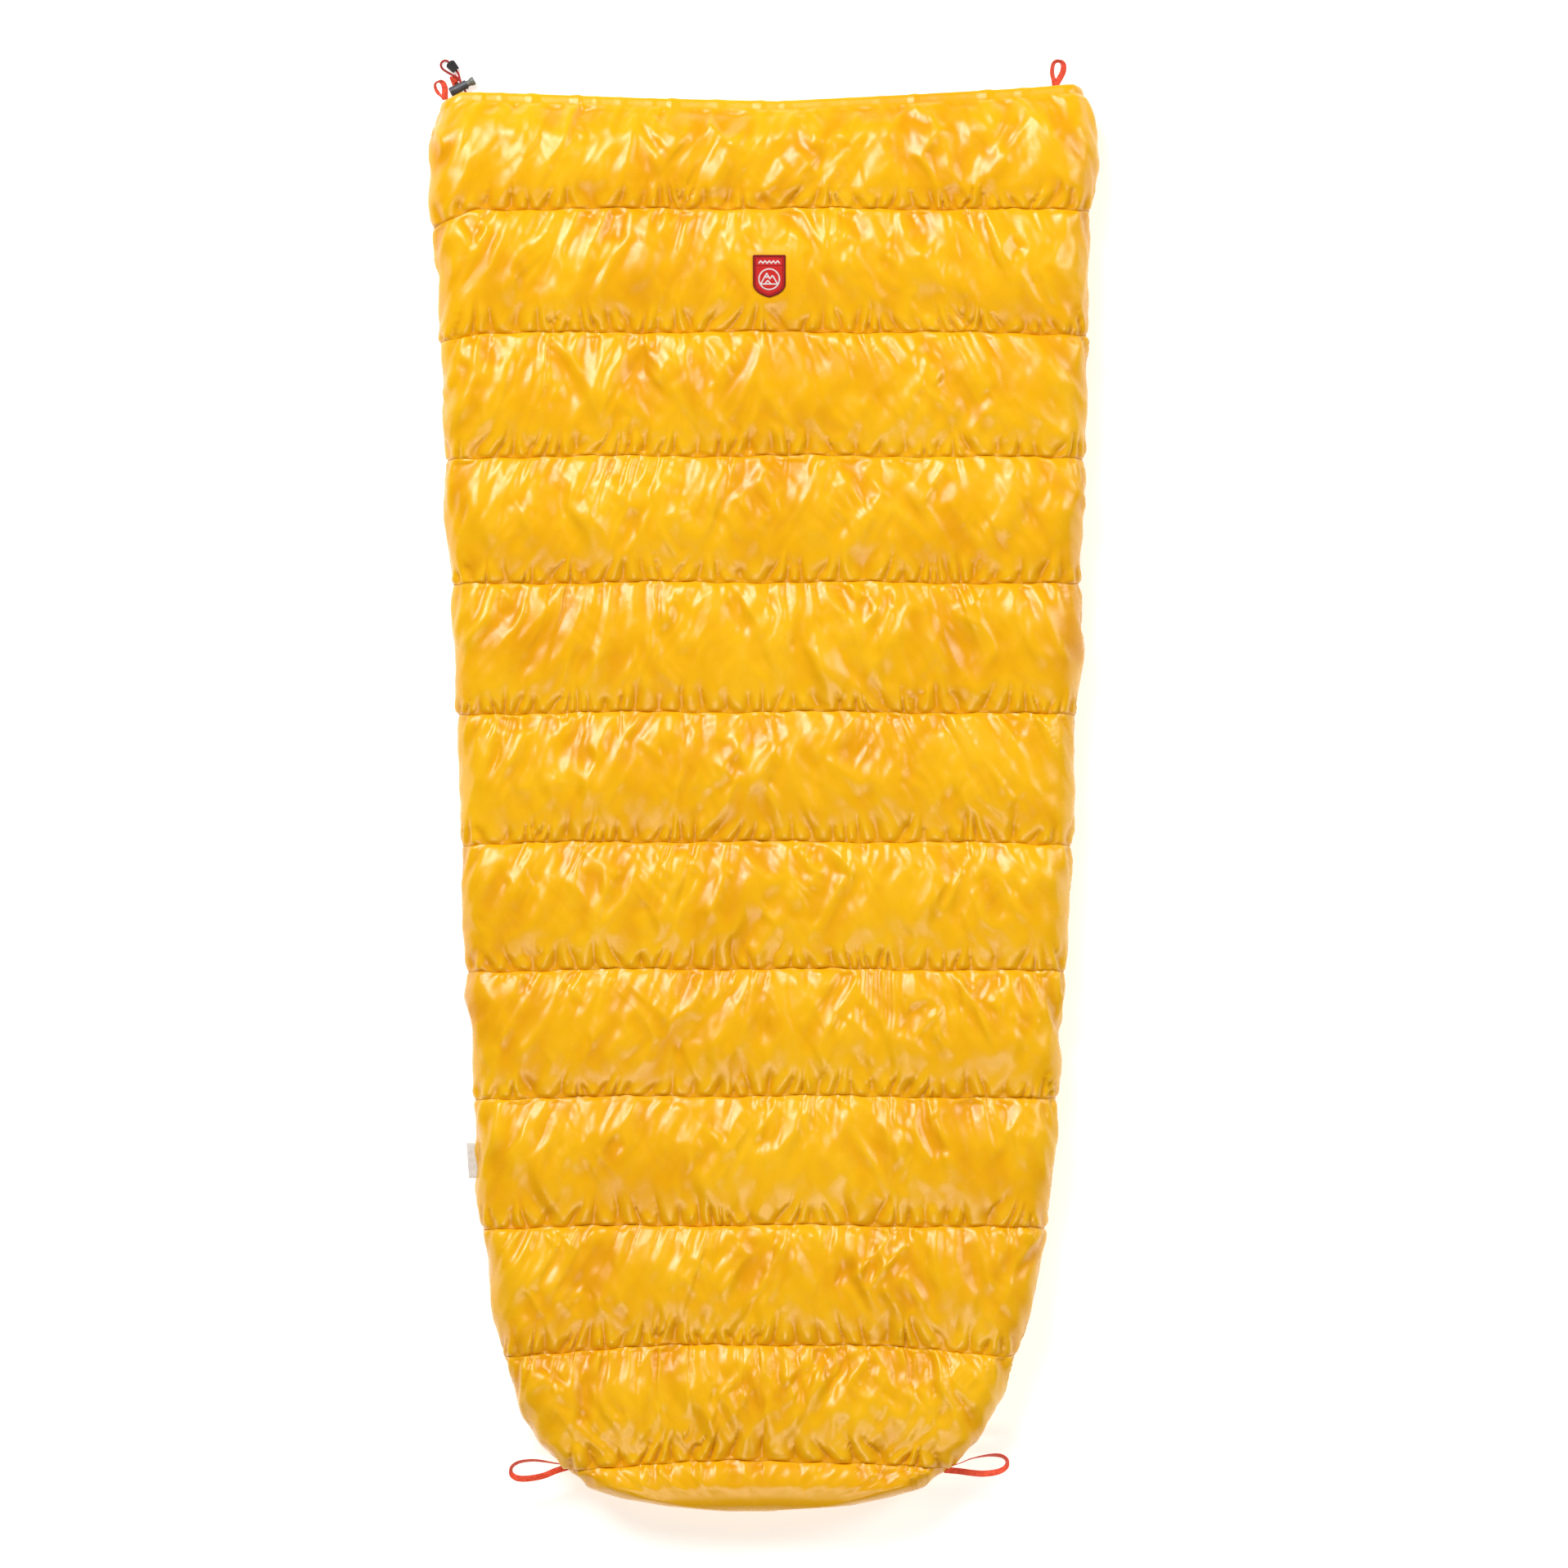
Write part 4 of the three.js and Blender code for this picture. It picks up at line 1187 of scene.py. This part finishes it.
def binding_grid(sign, from_y, to_y):
    count = int(abs(from_y - to_y) / BINDING_PITCH)
    rows = []
    for i in range(count + 1):
        y = mix(from_y, to_y, i / count)
        edge = slit_half(y)
        ripple = 0.35 * math.sin(y / 3.1) + 0.2 * math.sin(y / 1.7)
        ring = []
        for k in range(BINDING_STEPS + 1):
            angle = math.pi * (k / BINDING_STEPS - 0.5)
            back = abs(2 * k / BINDING_STEPS - 1) ** 3
            x = edge - 1 + 5 * (1 - math.cos(angle)) + 5 * back
            z = BASE_HEIGHT_EDGE + (CHANNEL_HALF + 0.2 + ripple * (1 - back)) * math.sin(angle)
            ring.append((sign * x, y - setback(sign * x, y), max(z, FLOOR_GAP)))
        rows.append(ring)
    return np.array(rows)


def make_binding(name, sign, from_y, to_y, node):
    grid = binding_grid(sign, from_y, to_y)
    piece = mesh_object(name, grid_mesh(grid if sign > 0 else grid[:, ::-1]), SHELL)
    dress(piece, node)
    bend_at_mouth_fold(piece)


for side, sign in (("right", 1), ("left", -1)):
    make_binding(f"binding_{side}_mouth", sign, 876.7, SEAMS[2], f"slit_binding_{side}_mouth")
    make_binding(f"binding_{side}_middle", sign, SEAMS[2], SLIT_END + 1, f"slit_binding_{side}_middle")


def make_tape(name, from_y, to_y, node):
    count = int(abs(from_y - to_y) / TAPE_PITCH)
    y = np.linspace(from_y, to_y, count)[:, None]
    x = np.linspace(-TAPE_HALF, TAPE_HALF, 7)[None]
    z = 11.95 + 0.25 * np.cos(x / TAPE_HALF * math.pi) + 0.15 * np.sin(y / 4)
    outer = np.stack(np.broadcast_arrays(x, y, z), 2)
    made = closed_layer(outer[:, ::-1], outer[:, ::-1] - np.array([0, 0, 0.4]))
    piece = mesh_object(name, made, LINING)
    dress(piece, node)
    bend_at_foot_fold(piece)


make_tape("seam_tape_middle", SLIT_END - 4, SEAMS[8], "footbox_seam_tape_middle")
make_tape("seam_tape_foot", SEAMS[8], FOOT_SEAM + 4, "footbox_seam_tape_foot")

# --- Stitches along the seams ---

# Each loop's root, angle from +X, length, width, and how far the band leans from upright along it
LOOPS = {
    "mouth_left": ((-407.5, 880.5, 27), 1.92, 24, 12, (10, 35, 20, 10, 55, 80, 75)),
    "mouth_right": ((377.3, 898.5, 27), 1.4, 31.6, 15, (50, 45, 35, 25, 60, 80, 78)),
    "foot_left": ((-249.5, -874.5, 44), 3.23, 73.5, 24, (70, 82, 78, 30, 32, 25, 4)),
    "foot_right": ((237.5, -878, 44), 0.1, 79.5, 24, (3, 12, 40, 35, 60, 82, 80)),
}
STITCH_PITCH = 3.4
STITCH_LENGTH = 2.3
STITCH_RADIUS = 0.28
STITCH_SIDES = 5
STITCH_SHAPE = ((0, 0.35), (0.2, 1), (0.8, 1), (1, 0.35))  # along it, and its size there
LOOP_ROOT = 9  # a ribbon's root leaves this much room in the stitches


def stitch_row(line, normals):
    """Short threads along a line, as one mesh's points and faces."""
    along = row_lengths(line)
    starts = np.arange(1, along[-1] - STITCH_LENGTH, STITCH_PITCH)

    def at(values, where):
        return np.stack([np.interp(where, along, values[:, c]) for c in range(3)], 1)

    roots = np.array([values[0] for values in LOOPS.values()])
    far = np.linalg.norm(at(line, starts + STITCH_LENGTH / 2)[:, None] - roots, axis=2).min(1)
    points, faces = [], []
    for start in starts[far > LOOP_ROOT]:
        where = start + STITCH_LENGTH * np.array([s for s, _ in STITCH_SHAPE])
        centre = at(line, where)
        up = at(normals, where)
        centre = centre + up * 0.45
        tangent = centre[-1] - centre[0]
        side = np.cross(tangent, up)
        side /= np.linalg.norm(side, axis=1, keepdims=True)
        first = len(points) * STITCH_SIDES
        ring = []
        for (_, size), c, u, v in zip(STITCH_SHAPE, centre, up, side):
            for k in range(STITCH_SIDES):
                a = 2 * math.pi * k / STITCH_SIDES
                ring.append(c + (u * math.cos(a) + v * math.sin(a)) * STITCH_RADIUS * size)
        points.extend(np.array(ring).reshape(len(STITCH_SHAPE), STITCH_SIDES, 3))
        faces.extend([[first + i for i in face] for face in tube_faces(len(STITCH_SHAPE), STITCH_SIDES)])
    return np.array(points).reshape(-1, 3), faces


def make_stitches(n):
    line = shell[n - 1][-1]
    normals = grid_normals(shell[n - 1])[-1] + grid_normals(shell[n])[0]
    normals /= np.linalg.norm(normals, axis=1, keepdims=True)
    piece = mesh_object(f"seam_stitches_{n:02d}", stitch_row(line, normals), THREAD)
    follow_seam(piece, n)


for n in range(1, CHAMBERS + 1):
    make_stitches(n)

# --- Ribbons, label and patch ---


def strip(name, line, across, width, thickness, material):
    """A flat band along a line, as wide as "width" in the directions "across"."""
    tangents = directions(line)
    across = across - tangents * np.sum(across * tangents, axis=1, keepdims=True)
    across /= np.linalg.norm(across, axis=1, keepdims=True)
    up = np.cross(tangents, across)
    section = [(-1, -0.5), (-0.92, -1.1), (0, -0.9), (0.92, -1.1), (1, -0.5)]
    section += [(-a, -b) for a, b in section]
    points = np.stack([line + across * (a * width / 2) + up * (b * thickness / 2) for a, b in section], 1)
    return mesh_object(name, (points.reshape(-1, 3), tube_faces(len(line), len(section))), material)


RIBBON_WIDTH = 8
RIBBON_THICKNESS = 0.8
LOOP_SHAPE = (
    (-0.04, 0.1), (0.2, 0.4), (0.4, 0.78), (0.6, 0.95), (0.78, 0.95),
    (0.9, 0.78), (0.97, 0.42), (0.985, 0.0), (0.96, -0.42), (0.88, -0.76),
    (0.76, -0.92), (0.58, -0.92), (0.4, -0.72), (0.2, -0.4), (-0.04, -0.1),
)


def make_loop(place, root, angle, length, width, leans):
    shape = np.array([(a * length, b * width / 2, 0) for a, b in LOOP_SHAPE])
    local = smooth_line(shape, 8)
    c, s = math.cos(angle), math.sin(angle)
    line = local @ np.array([[c, s, 0], [-s, c, 0], [0, 0, 1]]) + np.array(root)
    t = np.linspace(0, 1, len(line))
    lean = np.radians(np.interp(t, np.linspace(0, 1, len(leans)), leans))[:, None]
    tangents = directions(line)
    up = np.array([0, 0, 1.0])
    across = up * np.cos(lean) + np.cross(up, tangents) * np.sin(lean)
    piece = strip(f"ribbon_{place}", line, across, RIBBON_WIDTH, RIBBON_THICKNESS, RIBBON)
    dress(piece, f"ribbon_loop_{place}", body=f"ribbon_{place}")


for place, values in LOOPS.items():
    make_loop(place, *values)

TETHER_ROOT = (-388.8, 887.4, 0)
TETHER_ANGLE = 1.97
# Along the tape and up, and how far the tape is turned flat: out under the barrel and folded back
TETHER_SHAPE = (
    (-1, 6.4, 0), (1.6, 3.6, 0), (3.8, 1.5, 0), (6, 0.9, 0), (12, 0.9, 0.3),
    (18, 0.9, 0.5), (23.6, 0.9, 0.6), (25.1, 1.5, 1.2), (25.2, 2.3, 1.8), (23.6, 3.0, 2.4),
    (20, 3.1, 3.0), (17, 3.1, 3.4),
)


def make_tether():
    outward = np.array([math.cos(TETHER_ANGLE), math.sin(TETHER_ANGLE), 0])
    sideways = np.array([-outward[1], outward[0], 0])
    shape = smooth_line(TETHER_SHAPE, 6)
    line = np.array(TETHER_ROOT) + shape[:, :1] * outward + shape[:, 1:2] * (0, 0, 1)
    line = line - shape[:, 2:] * sideways
    across = np.broadcast_to(sideways, line.shape)
    piece = strip("lock_tape", line, across, RIBBON_WIDTH, 0.7, RIBBON)
    dress(piece, "lock_tether", body="mouth_end")


make_tether()

LABEL_FROM = -460
LABEL_TO = -505
LABEL_SHAPE = ((-4, -0.5), (4, -0.6), (9.5, -0.5), (11.2, 0), (9.5, 0.5), (4, 0.6), (-4, 0.5))


def make_label():
    """A blank folded flag, sewn into the left edge."""
    profile = smooth_line([(a, b, 0) for a, b in LABEL_SHAPE], 4)[:, :2]
    rows = []
    for y in np.linspace(LABEL_FROM, LABEL_TO, 25):
        lift = 0.5 * math.sin(y / 6) * profile[:, 0] / 11
        x = outline(y, 1) - profile[:, 0]
        rows.append(np.stack([x, 0 * x + y, MIDDLE_HEIGHT + profile[:, 1] + lift], 1))
    made = closed_layer(*(np.array(rows) + np.array([0, 0, d]) for d in (-0.12, 0.12)))
    piece = mesh_object("side_flag", made, LABEL)
    dress(piece, "side_label")
    bend_at_foot_fold(piece)


make_label()

PATCH_WIDTH = 42
PATCH_HEIGHT = 54.5
PATCH_BORDER = 2.6


def on_patch(flat, up):
    """Points over the patch's bent face, from x and y round its centre and the height above it."""
    x, y = flat[..., 0], flat[..., 1]
    z = patch_height + patch_bend(x, y)
    return np.stack([x + PATCH_CENTRE[0], y + PATCH_CENTRE[1], z + up], -1)


def shield(inset):
    """The shield's right side from its top corner to its point, as x and y."""
    w, h = PATCH_WIDTH / 2 - inset, PATCH_HEIGHT / 2 - inset
    straight = [(w, y) for y in np.linspace(h, -0.35 * h, 40)]
    curve = []
    for t in np.arange(1, 41) / 40:
        x = (1 - t) ** 2 * w + 2 * t * (1 - t) * w
        y = -((1 - t) ** 2 * 0.35 + 2 * t * (1 - t) * 0.8 + t**2) * h
        curve.append((max(x, 0.05), y))
    return np.array(straight + curve)


def even(line, pitch):
    """The same line with its points evenly spaced."""
    along = row_lengths(line)
    where = np.linspace(0, along[-1], max(2, int(along[-1] / pitch)))
    return np.stack([np.interp(where, along, line[:, c]) for c in range(line.shape[1])], 1)


THREAD_STEPS = 8


def satin(lines, width, height, base, pitch=0.4):
    """Raised thread over lines on the patch, as one mesh's points and faces."""
    points, faces = [], []
    for line in lines:
        flat = even(np.asarray(line, float), pitch)
        tangents = directions(flat)
        side = np.stack([-tangents[:, 1], tangents[:, 0]], 1)
        ridge = 1 + 0.13 * np.sin(np.arange(len(flat)) * 2.1)[:, None]
        first = sum(len(p) for p in points)
        rings = []
        for k in range(THREAD_STEPS + 1):
            angle = math.pi * k / THREAD_STEPS
            spot = flat + side * (math.cos(angle) * width / 2 * ridge)
            rings.append(on_patch(spot, base + math.sin(angle) * height * ridge[:, 0]))
        points.append(np.stack(rings, 1).reshape(-1, 3))
        faces += [[first + i for i in face] for face in tube_faces(len(flat), THREAD_STEPS + 1)]
    return np.concatenate(points), faces


def patch_piece(name, made, material, node):
    dress(mesh_object(name, made, material), node, body="mouth_end")


def make_patch():
    side = even(shield(PATCH_BORDER / 2), 1.2)
    share = np.linspace(-1, 1, 25)
    flat = np.stack([side[:, :1] * share, np.repeat(side[:, 1:], 25, 1)], 2)[:, ::-1]
    field = closed_layer(on_patch(flat, 1.3), on_patch(flat, 0.2))
    patch_piece("patch_field", field, PATCH, "patch_backing")
    right = shield(PATCH_BORDER / 2)
    left = right[::-1] * (-1, 1)
    loop = np.concatenate([right, left, right[:3]])
    rim = satin([loop], PATCH_BORDER, 2.1, 0.1, 0.35)
    patch_piece("patch_rim", rim, PATCH_EDGE, "patch_border")
    band = PATCH_HEIGHT / 2 - 14
    inner = shield(PATCH_BORDER + 1.1)
    tack = np.concatenate([inner, inner[::-1] * (-1, 1), inner[:2]])
    dark = [tack, [(-PATCH_WIDTH / 2 + 3, band), (PATCH_WIDTH / 2 - 3, band)]]
    patch_piece("patch_lines", satin(dark, 0.8, 0.35, 1.3), PATCH_EDGE, None)


EMBLEM_CENTRE = -4
EMBLEM_RADIUS = 14


def make_emblem():
    """Plain mountains in a ring, and a zigzag in the band above."""
    turn = np.linspace(0, 2 * math.pi, 90)
    radius = EMBLEM_RADIUS - 0.9
    ring = np.stack([radius * np.cos(turn), EMBLEM_CENTRE + radius * np.sin(turn)], 1)
    ground = [(-11.2, -10.2), (11.2, -10.2)]
    peaks = [(-10.6, -9.8), (-3.2, 3.6), (0.8, -3.6), (4.2, 0.8), (10.6, -9.8)]
    snow = [(-5.2, -0.4), (-3.6, -1.8), (-2.6, -0.6), (-1.2, -1.6)]
    foothill = [(-5.5, -9.8), (-1.8, -5.6), (1.8, -9.8)]
    zigzag = [(-13.5 + 2.7 * k, 16.2 + (3.4 if k % 2 else 0)) for k in range(11)]
    lines = satin([ring, ground, peaks, snow, foothill, zigzag], 1.9, 0.6, 1.3)
    patch_piece("patch_mountains", lines, EMBLEM, "patch_emblem")


make_patch()
make_emblem()

# --- Drawcord in its hem, and the cord lock ---

CORD_LINE = 886
LOCK_ORIGIN = np.array([-400.6, 890.4, 8.2])
LOCK_ANGLE = 0.466
SPRING_FROM = 4.7
SPRING_TO = 11.6
SPRING_RADIUS = 3
SPRING_WIRE = 0.7
SPRING_TURNS = 4
SPRING_STEPS = 16  # to a turn


def make_drawcord():
    s = station(MOUTH_EDGE, LOFT_EDGE, LOFT_EDGE, BASE_HEIGHT_EDGE)
    line = np.stack([s[:, 0], CORD_LINE - setback(s[:, 0], CORD_LINE), s[:, 1]], 1)
    line = line[np.concatenate([[True], np.linalg.norm(np.diff(line, axis=0), axis=1) > 0.5])]
    piece = tube("drawcord_run", line, CORD_DIAMETER / 2, CORD, 10)
    dress(piece, "drawcord", body="mouth_end")


make_drawcord()


rounded("lock_barrel", "cord_lock_barrel", 0, LOCK, "mouth_end")
rounded("lock_plunger", "cord_lock_plunger", 0.5, PLUNGER, "plunger")


def lock_point(along, side, up):
    c, s = math.cos(LOCK_ANGLE), math.sin(LOCK_ANGLE)
    return LOCK_ORIGIN + np.array([c * along - s * side, s * along + c * side, up])


def make_spring():
    steps = SPRING_TURNS * SPRING_STEPS
    line = []
    for k in range(steps + 1):
        turn = 2 * math.pi * k / SPRING_STEPS
        along = mix(SPRING_FROM, SPRING_TO, k / steps)
        line.append(lock_point(along, SPRING_RADIUS * math.cos(turn), SPRING_RADIUS * math.sin(turn)))
    spring = tube("lock_spring", np.array(line), SPRING_WIRE / 2, STEEL, 8)
    dress(spring, "cord_lock_spring", body="mouth_end")
    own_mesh(spring)


make_spring()

# --- Floor and finish ---


FLOOR_HALF = 9


def make_floor():
    mesh = bpy.data.meshes.new("floor")
    corners = [(a * FLOOR_HALF, b * FLOOR_HALF, 0) for a, b in ((-1, -1), (1, -1), (1, 1), (-1, 1))]
    mesh.from_pydata(corners, [], [(0, 1, 2, 3)])
    mesh.materials.append(floor_paper())
    add_object("floor", mesh)


make_floor()
bpy.context.scene.view_settings.view_transform = "Standard"
